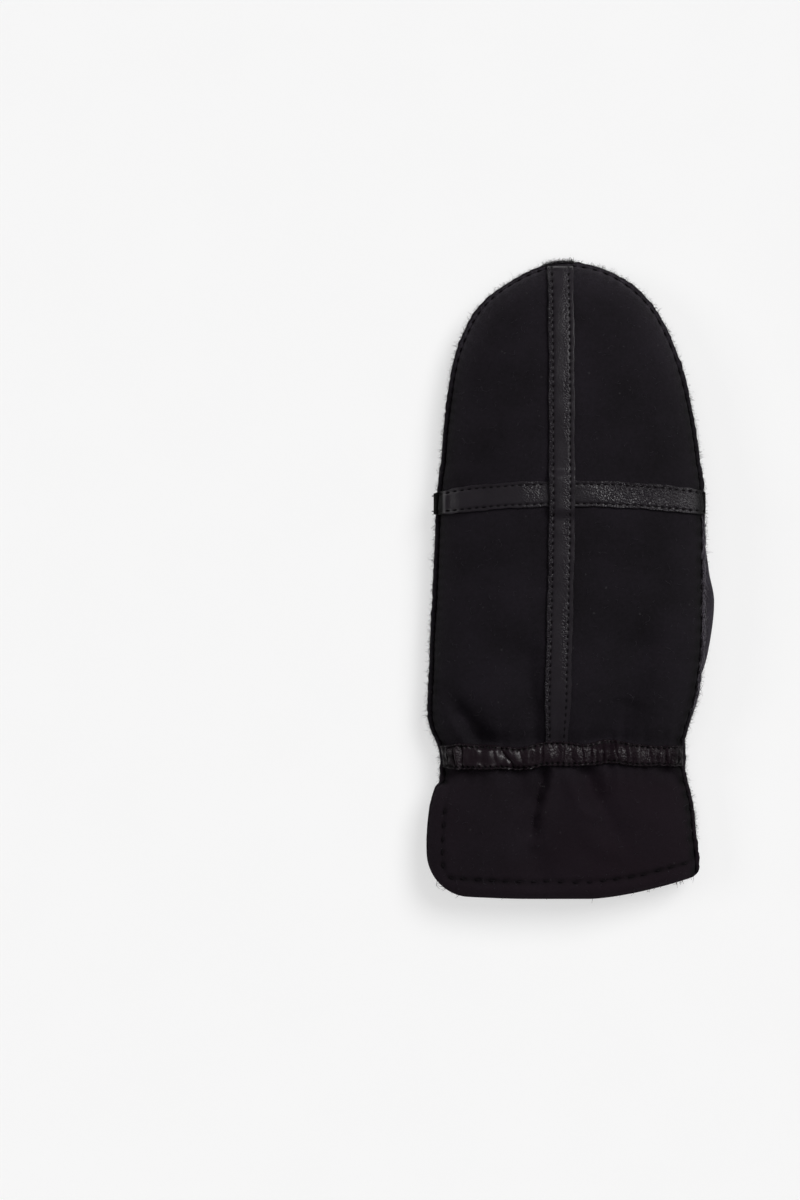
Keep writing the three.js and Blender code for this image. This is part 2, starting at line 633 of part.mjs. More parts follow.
const group = new THREE.Group();
group.name = "mitten";
group.add(
  piece("back_panel", backPanel(), suede),
  piece("palm_panel", palmPanel(), suede),
  piece("thumb", thumb(), suede),
  piece("center_strap", centerStrap(), smoothLeather),
  piece("cross_strap", crossStrap(), smoothLeather),
  piece("wrist_band_back", wristBand(backHeight), smoothLeather),
  piece("wrist_band_palm", wristBand(palmHeight), smoothLeather),
);

// The frame's origin is the middle of the space that the mitten takes up, on the surface under it.
const bounds = new THREE.Box3().setFromObject(group);
const middle = bounds.getCenter(new THREE.Vector3());
group.position.set(-middle.x, -middle.y, -bounds.min.z);

export default group;
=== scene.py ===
# %% [markdown]
# # A shearling mitten, lying palm down
# The real mitten is sheepskin worn with its wool inside. A suede back and a suede palm are sewn together by
# hand with their cut edges outward, smooth leather straps cross the back, and a gathered leather band draws
# in the wrist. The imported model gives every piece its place. This script dresses each piece: it rebuilds the
# same surfaces with many more points, adds the stitches, the ruffles and the wool, and gives each its finish.

# %% Load the frame
import math
import bpy
import numpy as np
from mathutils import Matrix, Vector


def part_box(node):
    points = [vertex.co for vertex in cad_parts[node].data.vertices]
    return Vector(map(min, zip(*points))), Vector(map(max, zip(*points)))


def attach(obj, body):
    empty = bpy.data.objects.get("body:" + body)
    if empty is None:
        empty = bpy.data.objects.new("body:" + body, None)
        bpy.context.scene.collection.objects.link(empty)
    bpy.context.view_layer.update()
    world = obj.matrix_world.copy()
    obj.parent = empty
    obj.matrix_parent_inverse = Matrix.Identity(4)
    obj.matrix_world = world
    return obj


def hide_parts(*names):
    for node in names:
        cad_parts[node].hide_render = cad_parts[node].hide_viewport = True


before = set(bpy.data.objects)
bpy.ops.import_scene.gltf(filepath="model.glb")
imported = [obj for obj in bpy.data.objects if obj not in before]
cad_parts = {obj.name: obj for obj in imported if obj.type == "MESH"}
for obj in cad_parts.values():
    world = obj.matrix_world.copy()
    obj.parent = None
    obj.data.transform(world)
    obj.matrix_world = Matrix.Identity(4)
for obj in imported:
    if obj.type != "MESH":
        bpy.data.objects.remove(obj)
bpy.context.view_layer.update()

# %% [markdown]
# ## Sizes
# Lengths are in millimetres, as a glove maker would write them, and one factor turns them to metres when a
# mesh is made. The tables hold shares of these sizes, so a change of one size moves all that follows it.

# %% Sizes of the mitten
MM = 0.001
HAND_LENGTH = 210.0
HAND_WIDTH = 116.0
HAND_DEPTH = 36.0
TIP_LENGTH = 84.0
WRIST_WIDTH = 104.0
WRIST_DEPTH = 25.0
CUFF_LENGTH = 60.0
CUFF_WIDTH = 115.0
CUFF_DEPTH = 26.0
WALL = 2.4
LIP = 2.1
GAP = 0.3
FLATTENING = 2.5
HEM_WIDTH = 7.2
HEM_SIDE_WIDTH = 6.6
VENT_LIP = 0.3
VENT_TOP = 11.5
VENT_SPREAD = 5.0
VENT_RUN = 10.0
THUMB_LENGTH = 71.0
THUMB_WIDTH = 38.0
THUMB_DEPTH = 14.0
THUMB_MOUTH = (27.0, 26.0)
THUMB_MIDDLE = (32.0, 40.0)
DRAPE_RUN = 16.0
STRAP_WIDTH = 11.0
STRAP_DEPTH = 1.2
STRAP_ENDS_PAST = (1.2, 0.3)
CENTER_STRAP_SIDE = 3.8
CROSS_STRAP_RISE = 110.8
CROSS_STRAP_ARCH = 3.5
BAND_WIDTH = 10.6
BAND_DEPTH = 2.2
OUTLINE_POWER = 2.2
SECTION_POWER = 3.0
SECTION_ROUND = 0.6
TIP_START = HAND_LENGTH - TIP_LENGTH
SEAM_PITCHES = [(0.0, 4.4), (0.4, 4.5), (0.5, 4.9), (0.6, 5.8), (1.0, 6.0)]  # along the edge, mm a stitch
HEM_PITCH = 5.9

# The outline's middle line and the wrist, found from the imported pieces.
strap_low, strap_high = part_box("center_strap")
MIDDLE_X = (strap_low[0] + strap_high[0]) / 2 / MM + CENTER_STRAP_SIDE
WRIST_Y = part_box("back_panel")[1][1] / MM - HAND_LENGTH
print("middle line at x =", round(MIDDLE_X, 2), "mm, wrist at y =", round(WRIST_Y, 2), "mm")

# %% Tables of the outline and the heights
# along, the width that the row follows, left share, right share
OUTLINE = [
    (-1.0, CUFF_WIDTH, 1.03, 0.985),
    (-0.78, CUFF_WIDTH, 1.038, 0.979),
    (-0.59, CUFF_WIDTH, 1.042, 0.96),
    (-0.38, CUFF_WIDTH, 1.023, 0.939),
    (-0.27, CUFF_WIDTH, 0.995, 0.918),
    (-0.22, CUFF_WIDTH, 0.976, 0.903),
    (-0.18, WRIST_WIDTH, 1.046, 0.987),
    (-0.1, WRIST_WIDTH, 1.042, 0.967),
    (0.0, WRIST_WIDTH, 1.046, 0.962),
    (0.032, WRIST_WIDTH, 1.079, 0.962),
    (0.048, WRIST_WIDTH, 1.113, 0.979),
    (0.073, HAND_WIDTH, 1.022, 0.902),
    (0.113, HAND_WIDTH, 1.026, 0.945),
    (0.154, HAND_WIDTH, 1.017, 0.971),
    (0.235, HAND_WIDTH, 1.009, 1.0),
    (0.316, HAND_WIDTH, 0.991, 1.003),
    (0.478, HAND_WIDTH, 0.967, 1.002),
    (0.559, HAND_WIDTH, 0.947, 0.988),
    (0.6, HAND_WIDTH, 0.926, 0.966),
    (0.72, HAND_WIDTH, 0.914, 0.93),
    (0.84, HAND_WIDTH, 0.945, 0.922),
    (0.93, HAND_WIDTH, 0.94, 0.93),
    (1.0, HAND_WIDTH, 0.76, 0.88),
]
# along, the depth that the row follows, back, seam, how far over the thumb, how far over the palm's band
HEIGHTS = [
    (-1.0, CUFF_DEPTH, 0.97, 0.46, 0.0, 0.0),
    (-0.5, CUFF_DEPTH, 1.0, 0.46, 0.1, 0.0),
    (-0.22, CUFF_DEPTH, 0.96, 0.47, 0.15, 0.4),
    (-0.09, WRIST_DEPTH, 0.98, 0.47, 0.25, 1.0),
    (0.025, WRIST_DEPTH, 1.0, 0.46, 0.4, 1.0),
    (0.06, HAND_DEPTH, 0.8, 0.4, 0.6, 0.5),
    (0.12, HAND_DEPTH, 0.91, 0.36, 0.9, 0.0),
    (0.2, HAND_DEPTH, 0.98, 0.33, 1.0, 0.0),
    (0.35, HAND_DEPTH, 1.0, 0.32, 1.0, 0.0),
    (0.5, HAND_DEPTH, 1.0, 0.33, 1.0, 0.0),
    (0.6, HAND_DEPTH, 0.98, 0.35, 0.8, 0.0),
    (0.8, HAND_DEPTH, 0.95, 0.38, 0.2, 0.0),
    (1.0, HAND_DEPTH, 0.93, 0.39, 0.0, 0.0),
]
# from across, from along, to across, to along, wide, deep, sharp side: valleys along straight lines.
# The sharp side is 1 to the left of the way from its start to its end, -1 to the right, and 0 for neither.
FOLDS = [
    (-0.97, 0.14, -0.8, 0.09, 0.13, 0.1, -1),
    (-0.8, 0.09, -0.61, 0.02, 0.15, 0.19, -1),
    (-0.33, 0.2, -0.2, 0.107, 0.24, 0.08, 0),
    (-0.2, 0.107, -0.14, 0.022, 0.17, 0.13, 1),
    (0.5, 0.22, 0.41, 0.1, 0.22, 0.1, 0),
    (0.41, 0.1, 0.27, 0.02, 0.2, 0.14, 0),
    (0.94, 0.12, 0.88, 0.03, 0.16, 0.08, 0),
    (-0.165, -0.1, -0.23, -0.32, 0.095, 0.15, 1),
    (-0.23, -0.32, -0.27, -0.54, 0.1, 0.105, 1),
    (-0.27, -0.54, -0.23, -0.8, 0.18, 0.07, 0),
    (-0.36, -0.1, -0.34, -0.24, 0.2, 0.1, 0),
    (0.11, -0.1, 0.19, -0.29, 0.15, 0.13, -1),
    (0.19, -0.29, 0.31, -0.52, 0.18, 0.07, -1),
    (-0.72, -0.09, -0.93, -0.2, 0.08, 0.12, -1),
    (0.71, -0.09, 0.9, -0.21, 0.08, 0.12, 1),
]
HEM_LOWEST = 0.1
# where the rise begins, how far it rises, the corner's radius
HEM_SIDES = {-1: (0.22, 1.6, 16.8), 1: (0.05, 9.7, 3.5)}
print(len(OUTLINE), "outline rows,", len(HEIGHTS), "height rows,", len(FOLDS), "folds")

# %% Reading the tables smoothly
def smoothstep(value, low, high):
    t = np.clip((value - low) / (high - low), 0.0, 1.0)
    return t * t * (3.0 - 2.0 * t)


def hump(value, middle, wide):
    """1 at the middle, falling smoothly to almost nothing at twice the width from it."""
    return np.exp(-(((value - middle) / wide) ** 2))


def unit(vectors):
    return vectors / np.linalg.norm(vectors, axis=-1, keepdims=True)


def placed(*coordinates):
    """Points from their coordinates, each of which may be one number, a row or a whole grid."""
    return np.stack(np.broadcast_arrays(*coordinates), axis=-1)


def run_along(x, y):
    """How far along a drawn line each of its points is."""
    return np.concatenate([[0.0], np.cumsum(np.hypot(np.diff(x), np.diff(y)))])


def points_at(at, run, path):
    """The points of a drawn line that are so far along it."""
    return placed(*(np.interp(at, run, column) for column in path.T))


def around(count):
    """Equal turns round a full circle."""
    return np.linspace(0, 2 * math.pi, count, endpoint=False)


def closer_at_ends(count, share):
    """From -1 to 1 in steps that are smaller near both ends."""
    even = np.linspace(-1, 1, count)
    return np.sin(even * math.pi / 2) * share + even * (1 - share)


def from_table(rows, along, values):
    """Smooth values between the rows, with each row's slope taken from its neighbours."""
    places = np.array([row[0] for row in rows])
    values = np.asarray(values, dtype=float)
    slopes = np.gradient(values, places, edge_order=1)
    slopes[1:-1] = (values[2:] - values[:-2]) / (places[2:] - places[:-2])
    at = np.clip(along, places[0], places[-1])
    i = np.clip(np.searchsorted(places, at, side="right") - 1, 0, len(places) - 2)
    span = places[i + 1] - places[i]
    t = (at - places[i]) / span
    return (
        (2 * t**3 - 3 * t**2 + 1) * values[i]
        + (t**3 - 2 * t**2 + t) * span * slopes[i]
        + (3 * t**2 - 2 * t**3) * values[i + 1]
        + (t**3 - t**2) * span * slopes[i + 1]
    )


def along_of(y):
    return np.where(y < 0, y / CUFF_LENGTH, y / HAND_LENGTH)


def half_width(side, y):
    along = along_of(y)
    left = from_table(OUTLINE, along, [row[1] / 2 * row[2] for row in OUTLINE])
    right = from_table(OUTLINE, along, [row[1] / 2 * row[3] for row in OUTLINE])
    return np.where(side < 0, left, right)


def squareness(share):
    """The section of the hand: 1 on the middle line, falling ever faster to 0 at the seam."""
    return np.maximum(0.0, 1.0 - np.abs(share) ** SECTION_POWER) ** SECTION_ROUND


print("wrist half widths:", [round(float(half_width(s, np.float64(0))), 1) for s in (-1, 1)])

# %% [markdown]
# ## The surfaces as formulas
# A mitten's back is a low dome over a rounded outline. One number says where a point is: its reach, 0 on
# the middle line and 1 at the seam. The height then follows a rounded curve of the reach. Folds, the hem
# and the ruffles are small depths taken away from it, so every piece that lies on the back, such as a
# strap, can ask for the height at its own points and grow it outward by its own thickness.

# %% The seam, the vent and the hem
def below_vent(x, y):
    """1 where the little finger's side is open below the seam, and its edge is turned instead of sewn."""
    return np.where(x < 0, smoothstep(-y, VENT_TOP - 1.0, VENT_TOP + 3.0), 0.0)


def eased(inset, x, y):
    """An inset from the outline, with the lip's share of it drawn in below the vent."""
    return inset - (1 - VENT_LIP / LIP) * below_vent(x, y) * np.minimum(inset, LIP)


def reach_of(x, y, inset):
    across = np.abs(x) / (half_width(x, y) - eased(inset, x, y))
    up = np.maximum(0.0, (y - TIP_START) / (TIP_LENGTH - inset))
    both = (across**OUTLINE_POWER + up**OUTLINE_POWER) ** (1.0 / OUTLINE_POWER)
    return np.where(y > TIP_START, both, across)


def seam_height(x, y):
    along = along_of(y)
    own = from_table(HEIGHTS, along, [row[1] * row[2] * row[3] for row in HEIGHTS])
    lifted = from_table(HEIGHTS, along, [row[4] for row in HEIGHTS])
    over_thumb = THUMB_DEPTH + GAP + 2 * WALL
    reach = np.maximum(reach_of(x, y, LIP), 1e-6)
    sideways = np.clip(x / (reach * half_width(x, y)), -1.0, 1.0)
    return own + np.maximum(0.0, over_thumb - own) * lifted * smoothstep(sideways, -1.0, 1.0)


def vent_opening(x, y):
    return np.where(x > 0, 0.0, VENT_SPREAD / 2 * smoothstep(-y, VENT_TOP, VENT_TOP + VENT_RUN))


def hem_line(x):
    side = np.where(x < 0, -1, 1)
    start, rise, radius = (np.where(side < 0, a, b) for a, b in zip(HEM_SIDES[-1], HEM_SIDES[1]))
    edge = half_width(side, np.full_like(x, -CUFF_LENGTH))
    first = (HEM_LOWEST + start) * edge
    climb = np.maximum(0.0, (np.abs(x) - first) / (edge - first))
    left = radius - np.maximum(0.0, edge - np.abs(x))
    corner = np.where(left > 0, radius - np.sqrt(np.maximum(0.0, radius**2 - left**2)), 0.0)
    return -CUFF_LENGTH + rise * climb**1.5 + corner


print("hem at the corners:", np.round(hem_line(np.array([-59.0, 0.0, 56.0])), 1))

# %% Folds, ripples and the turned hem
def distance_to_line(x, y, start, end):
    dx, dy = end[0] - start[0], end[1] - start[1]
    t = np.clip(((x - start[0]) * dx + (y - start[1]) * dy) / (dx * dx + dy * dy), 0.0, 1.0)
    return np.hypot(x - start[0] - t * dx, y - start[1] - t * dy)


def place_of(across, along):
    return across * HAND_WIDTH / 2, along * (CUFF_LENGTH if along < 0 else HAND_LENGTH)


def fold_depth(x, y):
    """Valleys, deepest along their lines. A sharp side drops quickly and stands up in a low ridge."""
    beside_strap = smoothstep(np.abs(x + CENTER_STRAP_SIDE), STRAP_WIDTH * 0.5, STRAP_WIDTH * 1.2)
    off_strap = np.where(y > 0, beside_strap, 1.0)
    off_band = smoothstep(np.abs(y), BAND_WIDTH * 0.2, BAND_WIDTH * 0.7)
    deepest = np.zeros_like(x)
    highest = np.zeros_like(x)
    for from_x, from_y, to_x, to_y, wide, deep, sharp in FOLDS:
        start, end = place_of(from_x, from_y), place_of(to_x, to_y)
        away = distance_to_line(x, y, start, end) / (wide * HAND_DEPTH)
        turn = (end[0] - start[0]) * (y - start[1]) - (end[1] - start[1]) * (x - start[0])
        steep = smoothstep(sharp * turn / math.dist(start, end), -2.2, 2.2) if sharp else 0.0
        deepest = np.maximum(deepest, deep * HAND_DEPTH * hump(away * (1 + 0.9 * steep), 0, 1))
        highest = np.maximum(highest, 0.35 * steep * deep * HAND_DEPTH * hump(away, 1.3, 0.7))
    return (deepest - highest) * off_strap * off_band


def gathers(x, y):
    """Small ripples that the drawn-in wrist sends into the suede on both sides of the band."""
    wave = np.sin(x * 0.83 + 0.7 * np.sin(x * 0.31)) + 0.6 * np.sin(x * 1.37 + 1.9)
    reach_up = np.where(y > 0, 9.0, 7.0)
    near = hump(np.maximum(0.0, np.abs(y) - BAND_WIDTH / 2), 0, reach_up)
    return 0.32 * wave * near


def unevenness(x, y):
    """Slow waves of a third of a millimetre, as any skin stuffed with wool shows."""
    return (
        0.16 * np.sin(x * 0.171 + 1.3) * np.cos(y * 0.113 + 0.4)
        + 0.12 * np.sin(x * 0.093 - y * 0.141 + 2.1)
        + 0.07 * np.sin(x * 0.36 + y * 0.27) * np.cos(x * 0.11 - y * 0.33 + 0.9)
    )


def stitches_along(run, whole):
    """Counts the seam's stitches, closer on the little finger's side than on the thumb's."""
    share = np.linspace(0.0, 1.0, 200)
    pitch = np.interp(share, *zip(*SEAM_PITCHES))
    count = np.concatenate([[0.0], np.cumsum(0.5 * (1 / pitch[1:] + 1 / pitch[:-1]) * np.diff(share))])
    return np.interp(run / whole, share, count * whole)


def near_stitch(run, pitch, width):
    """1 on a stitch and 0 between two."""
    off = (run / pitch + 0.5) % 1.0 - 0.5
    return hump(off * pitch, 0, width)


CORNER = 12.0  # where the stitched row and the turned edge inside it go round the corner
CORNER_EASE = 0.4
HEM_RISE = HEM_SIDES[-1][1]
HEM_ROW_TOP, HEM_ROW_RIGHT = -21.5, 55.0  # where the stitched row begins and ends


def from_cuff_edge(x, y):
    """Distance from the turned edge, less what makes the hem narrower along the vent than at the bottom."""
    from_hem = y - hem_line(x)
    from_side = np.where(
        (x < 0) & (y < -VENT_TOP + 2.0),
        half_width(-1, y) + x + (HEM_WIDTH - HEM_SIDE_WIDTH),
        HEM_WIDTH * 3,
    )
    corner_x = -half_width(-1, y) + CORNER
    corner_y = -CUFF_LENGTH + HEM_RISE + CORNER
    in_corner = (x < corner_x) & (y < corner_y)
    round_corner = CORNER + CORNER_EASE - np.hypot(x - corner_x, y - corner_y)
    return np.where(in_corner, round_corner, np.minimum(from_hem, from_side)), from_hem


def hem_row():
    """Middles and directions of the hem's stitches: down the vent, round the corner and along the bottom."""
    y = np.linspace(HEM_ROW_TOP, -CUFF_LENGTH + CORNER + HEM_RISE, 60)
    side = placed(-half_width(-1, y) + HEM_SIDE_WIDTH, y)
    turn = np.linspace(0, math.pi / 2, 30)[1:-1]
    inner = CORNER - HEM_WIDTH + CORNER_EASE
    middle = (float(-half_width(-1, y[-1]) + CORNER), float(y[-1]))
    arc = placed(middle[0] - inner * np.cos(turn), middle[1] - inner * np.sin(turn))
    x = np.linspace(middle[0], HEM_ROW_RIGHT, 200)
    path = np.concatenate([side, arc, placed(x, hem_line(x) + HEM_WIDTH)])
    run = run_along(*path.T)
    at = np.arange(1.5, run[-1] - 3.0, HEM_PITCH)
    middles = points_at(at, run, path)
    way = unit(points_at(at + 0.5, run, path) - middles)
    by_hand = np.random.default_rng(9).uniform(-1.0, 1.0, (len(middles), 3))
    middles += by_hand[:, :1] * 0.4 * way + by_hand[:, 1:2] * 0.2 * way[:, ::-1] * [-1, 1]
    return middles, way, 0.75 + 0.25 * by_hand[:, 2]


hem_middles, hem_ways, hem_pulls = hem_row()
print("hem stitches on each face:", len(hem_middles))


def hem_marks(x, y):
    """The hem's crease along its stitches and the hollow at each stitch, both from 0 to 1."""
    from_edge, _ = from_cuff_edge(x, y)
    crease = hump(from_edge, HEM_WIDTH, 0.9)
    hollows = np.zeros_like(from_edge)
    for (middle_x, middle_y), (way_x, way_y), pulled in zip(hem_middles, hem_ways, hem_pulls):
        off_x, off_y = x - middle_x, y - middle_y
        along, across = off_x * way_x + off_y * way_y, off_y * way_x - off_x * way_y
        away = (along / 1.9) ** 2 + (across / 0.95) ** 2
        hollows = np.maximum(hollows, pulled * np.exp(-np.minimum(away, 20.0)))
    return crease, hollows


def hem_dip(x, y):
    """How far the turned hem lies below the open surface: its crease, its hollows and its rounded edge."""
    from_edge, from_hem = from_cuff_edge(x, y)
    crease, hollows = hem_marks(x, y)
    rounding = 1.6 * np.maximum(0.0, 1.0 - from_hem / 3.0) ** 2
    puff = 0.35 * hump(from_edge, HEM_WIDTH * 0.5, 2.2)
    return 0.55 * crease + 1.1 * hollows + rounding - puff


def hem_thickness(x, y):
    return 1.4 * (1.0 - smoothstep(y - hem_line(x), HEM_WIDTH * 0.8, HEM_WIDTH * 1.2))


print("deepest fold, mm:", round(max(row[5] for row in FOLDS) * HAND_DEPTH, 1))

# %% The back and the palm
def lip_top(x, y):
    return seam_height(x, y) + GAP / 2 + WALL + vent_opening(x, y)


def lip_bottom(x, y):
    return seam_height(x, y) - GAP / 2 - WALL - vent_opening(x, y)


def back_top(y):
    return from_table(HEIGHTS, along_of(y), [row[1] * row[2] for row in HEIGHTS])


def palm_rest(y):
    room = BAND_DEPTH + 0.6 + 2 * GAP
    return room * from_table(HEIGHTS, along_of(y), [row[5] for row in HEIGHTS])


def back_height(x, y, grow=0.0):
    base = lip_top(x, y) + grow
    reach = np.minimum(1.0, reach_of(x, y, LIP - grow))
    dips = fold_depth(x, y) + hem_dip(x, y) + gathers(x, y) + unevenness(x, y)
    return base + (back_top(y) + grow - base) * squareness(reach) - dips * (1 - reach**6)


def back_inside(x, y):
    base = lip_top(x, y) - WALL
    reach = np.minimum(1.0, reach_of(x, y, LIP + WALL))
    dips = fold_depth(x, y) + hem_thickness(x, y)
    return base + (back_top(y) - WALL - base) * squareness(reach) - dips * (1 - reach**6)


# %% [markdown]
# The thumb lies flat under the palm, so the palm hangs over it. The same table of rings that shapes the
# thumb says where it lies, and the palm comes down to the table beside it.

# %% The thumb's place and the palm over it
# top along, top height, low along, low height, across, half width
THUMB_RINGS = [
    (0.16, 1.0, -0.29, 0.5, 0.17, 0.95),
    (0.24, 1.0, -0.19, 0.05, 0.42, 1.0),
    (0.34, 1.0, 0.0, 0.0, 0.565, 1.0),
    (0.46, 1.0, 0.24, 0.0, 0.635, 1.0),
    (0.57, 0.99, 0.46, 0.0, 0.55, 0.98),
    (0.69, 0.96, 0.66, 0.0, 0.5, 0.94),
    (0.8, 0.9, 0.8, 0.03, 0.43, 0.85),
    (0.9, 0.8, 0.9, 0.12, 0.38, 0.67),
    (0.97, 0.68, 0.97, 0.26, 0.35, 0.4),
]
THUMB_POWER = 2.6


def away_from_thumb(x, y):
    plan = [(THUMB_MIDDLE[0], THUMB_MIDDLE[1], THUMB_MOUTH[0] / 2 + WALL + LIP)]
    for top, _, low, _, across, half in THUMB_RINGS:
        middle = THUMB_MIDDLE[1] + (top + low) / 2 * THUMB_LENGTH
        plan.append((THUMB_MIDDLE[0] + across * THUMB_WIDTH / 2, middle, half * THUMB_WIDTH / 2))
    nearest = np.full_like(x, 1e9)
    for (ax, ay, ar), (bx, by, br) in zip(plan, plan[1:]):
        dx, dy = bx - ax, by - ay
        t = np.clip(((x - ax) * dx + (y - ay) * dy) / (dx * dx + dy * dy), 0.0, 1.0)
        away = np.hypot(x - ax - t * dx, y - ay - t * dy) - (ar + (br - ar) * t)
        nearest = np.minimum(nearest, away)
    return nearest


def thumb_drape(x, y):
    return (THUMB_DEPTH + GAP) * (1.0 - smoothstep(away_from_thumb(x, y), WALL, WALL + DRAPE_RUN))


def palm_height(x, y, grow=0.0):
    base = lip_bottom(x, y) - grow
    rest = palm_rest(y) - grow
    reach = np.minimum(1.0, reach_of(x, y, LIP - grow))
    hang = (base - rest + FLATTENING) * squareness(reach)
    held = np.maximum(rest, thumb_drape(x, y) - grow)
    return np.maximum(base - hang + hem_dip(x, y) * (1 - reach**6), np.minimum(held, base))


def palm_inside(x, y):
    base = lip_bottom(x, y) + WALL
    rest = palm_rest(y) + WALL + hem_thickness(x, y)
    reach = np.minimum(1.0, reach_of(x, y, LIP + WALL))
    hang = (base - rest + FLATTENING) * squareness(reach)
    held = np.maximum(rest, thumb_drape(x, y) + WALL)
    return np.maximum(base - hang, np.minimum(held, base))


print("palm over the thumb, mm:", round(float(palm_height(np.array([40.0]), np.array([60.0]))[0]), 2))

# %% [markdown]
# ## Meshes from grids
# Each panel is a grid of ribs that run from the seam to the middle line: up one side, round the fingertips
# and down the other. Numpy works out all points at once, and one function turns points and faces into a
# Blender object. The points are in the maker's own place and are shifted into the frame here, once.

# %% Making a Blender mesh
def make_piece(name, points, faces, sharp=50.0):
    shifted = (np.asarray(points, dtype=float) + [MIDDLE_X, WRIST_Y, 0.0]) * MM
    mesh = bpy.data.meshes.new(name)
    mesh.from_pydata(shifted.tolist(), [], faces)
    mesh.validate()
    piece = bpy.data.objects.new(name, mesh)
    bpy.context.scene.collection.objects.link(piece)
    mesh.shade_smooth()
    mesh.set_sharp_from_angle(angle=math.radians(sharp))
    return piece


def grid_faces(first, rows, columns, flip=False, closed=False):
    """Four-sided faces over a grid of points that is stored row by row from the index first."""
    across = columns if closed else columns - 1
    row, column = np.meshgrid(np.arange(rows - 1), np.arange(across), indexing="ij")
    a = first + row * columns + column
    b = first + row * columns + (column + 1) % columns
    c, d = b + columns, a + columns
    quads = placed(a, d, c, b) if flip else placed(a, b, c, d)
    return quads.reshape(-1, 4).tolist()


def tubes_mesh(name, tubes, sharp=50.0, flip=False):
    """Closed tubes as one mesh, from an array of tubes x rings x points x 3. flip turns the faces over."""
    tubes = np.asarray(tubes, dtype=float)
    count, rings, sides = tubes.shape[:3]
    faces = []
    for first in range(0, count * rings * sides, rings * sides):
        last = first + (rings - 1) * sides
        faces += grid_faces(first, rings, sides, flip=flip, closed=True)
        ends = [list(range(first, first + sides))[::-1], list(range(last, last + sides))]
        faces += [end[::-1] if flip else end for end in ends]
    return make_piece(name, tubes.reshape(-1, 3), faces, sharp)


# %% The ribs of a panel
def panel_ribs(step):
    """Side (-1 or 1, 0 in the rounded end), row height and turn of each rib."""
    rows = np.linspace(-CUFF_LENGTH, TIP_START, round((CUFF_LENGTH + TIP_START) / step) + 1)
    fine_hem = -CUFF_LENGTH + np.array([0.0, 0.25, 0.6])
    rows = np.concatenate([fine_hem, rows[1:]])
    turns = np.linspace(0.0, math.pi, round(math.pi * 66.0 / step) + 1)[1:-1]
    side = np.concatenate([np.full(rows.size, -1.0), np.zeros(turns.size), np.full(rows.size, 1.0)])
    y = np.concatenate([rows, np.full(turns.size, TIP_START), rows[::-1]])
    turn = np.concatenate([np.zeros(rows.size), turns, np.zeros(rows.size)])
    return side[:, None], y[:, None], turn[:, None]


def where(ribs, reach, inset):
    side, y, turn = ribs
    reach = np.broadcast_to(reach, (side.shape[0], np.shape(reach)[-1]))
    nominal = side * reach * (half_width(side, y) - eased(inset, side, y))
    fade = np.maximum(0.0, -y / CUFF_LENGTH) ** 2.5
    side_y = y + (hem_line(nominal) + CUFF_LENGTH) * fade
    side_x = side * reach * (half_width(side, side_y) - eased(inset, side, side_y))
    cos, sin = np.cos(turn), np.sin(turn)
    tip_y = TIP_START + reach * (TIP_LENGTH - inset) * sin ** (2 / OUTLINE_POWER)
    tip_x = -np.sign(cos) * reach * np.abs(cos) ** (2 / OUTLINE_POWER) * (half_width(-cos, tip_y) - inset)
    return np.where(side == 0, tip_x, side_x), np.where(side == 0, tip_y, side_y)


RIB_STEP = 0.95
ribs = panel_ribs(RIB_STEP)
edge_x, edge_y = (values[:, 0] for values in where(ribs, np.array([1.0]), 0.0))
edge_run = run_along(edge_x, edge_y)
seam_count = stitches_along(edge_run, edge_run[-1])
side_ribs = int(np.sum(ribs[0] < 0))
up_the_side = slice(0, side_ribs)
round_the_end = slice(side_ribs, -side_ribs)
down_the_side = slice(-side_ribs, None)
print("seam and cuff edges run", round(edge_run[-1]), "mm in", edge_x.size, "ribs")
print("seam stitches on each face:", round(seam_count[-1]))

# %% A closed panel between two surfaces
def rim_reaches(count):
    """From 1 at the seam to 0, close together where the surface turns over at the rim."""
    down = np.linspace(0.0, 1.0, count)
    return 1.0 - (0.35 * down**2.6 + 0.65 * down**1.3)


def painted(piece, name, values):
    """Stores one number for each point of the mesh, for its material to read by name."""
    piece.data.attributes.new(name, "FLOAT", "POINT").data.foreach_set("value", np.ravel(values))


def panel_mesh(name, upper, lower, painted_seam_shade, painted_light):
    """upper and lower each give (x, y, z) grids over the ribs, from the cut edge to the middle line."""
    points, faces, starts = [], [], []
    for x, y, z in (upper, lower):
        starts.append(len(points))
        points.extend(placed(x, y, z).reshape(-1, 3).tolist())
    rows = upper[0].shape[0]
    up_columns, low_columns = upper[0].shape[1], lower[0].shape[1]
    faces += grid_faces(starts[0], rows, up_columns)
    faces += grid_faces(starts[1], rows, low_columns, flip=True)
    for i in range(rows - 1):
        a, b = starts[0] + i * up_columns, starts[0] + (i + 1) * up_columns
        c, d = starts[1] + (i + 1) * low_columns, starts[1] + i * low_columns
        faces.append([a, b, c, d])
    for row, turned in ((0, True), (rows - 1, False)):
        up = [starts[0] + row * up_columns + j for j in range(up_columns)]
        low = [starts[1] + row * low_columns + j for j in range(low_columns)]
        loop = up + low[::-1]
        faces.append(loop[::-1] if turned else loop)
    piece = make_piece(name, points, faces)
    # Painted shade and painted light, one number for each point, which the suede's colour reads.
    painted(piece, "painted_seam_shade", np.concatenate([np.ravel(values) for values in painted_seam_shade]))
    painted(piece, "painted_light", np.concatenate([np.ravel(values) for values in painted_light]))
    weld = piece.modifiers.new("weld", "WELD")
    weld.merge_threshold = 1e-5
    return piece


# %% [markdown]
# ## The back and the palm
# The edges are sewn outward, so each panel ends in a flat lip. Hand stitches four to six millimetres apart
# pull the lip down and in, which gives the edge its slight scallops, and the cut hide is never quite
# straight. The wool on the inside is part of the same skin, so each panel is one closed body with an outer
# and an inner face.

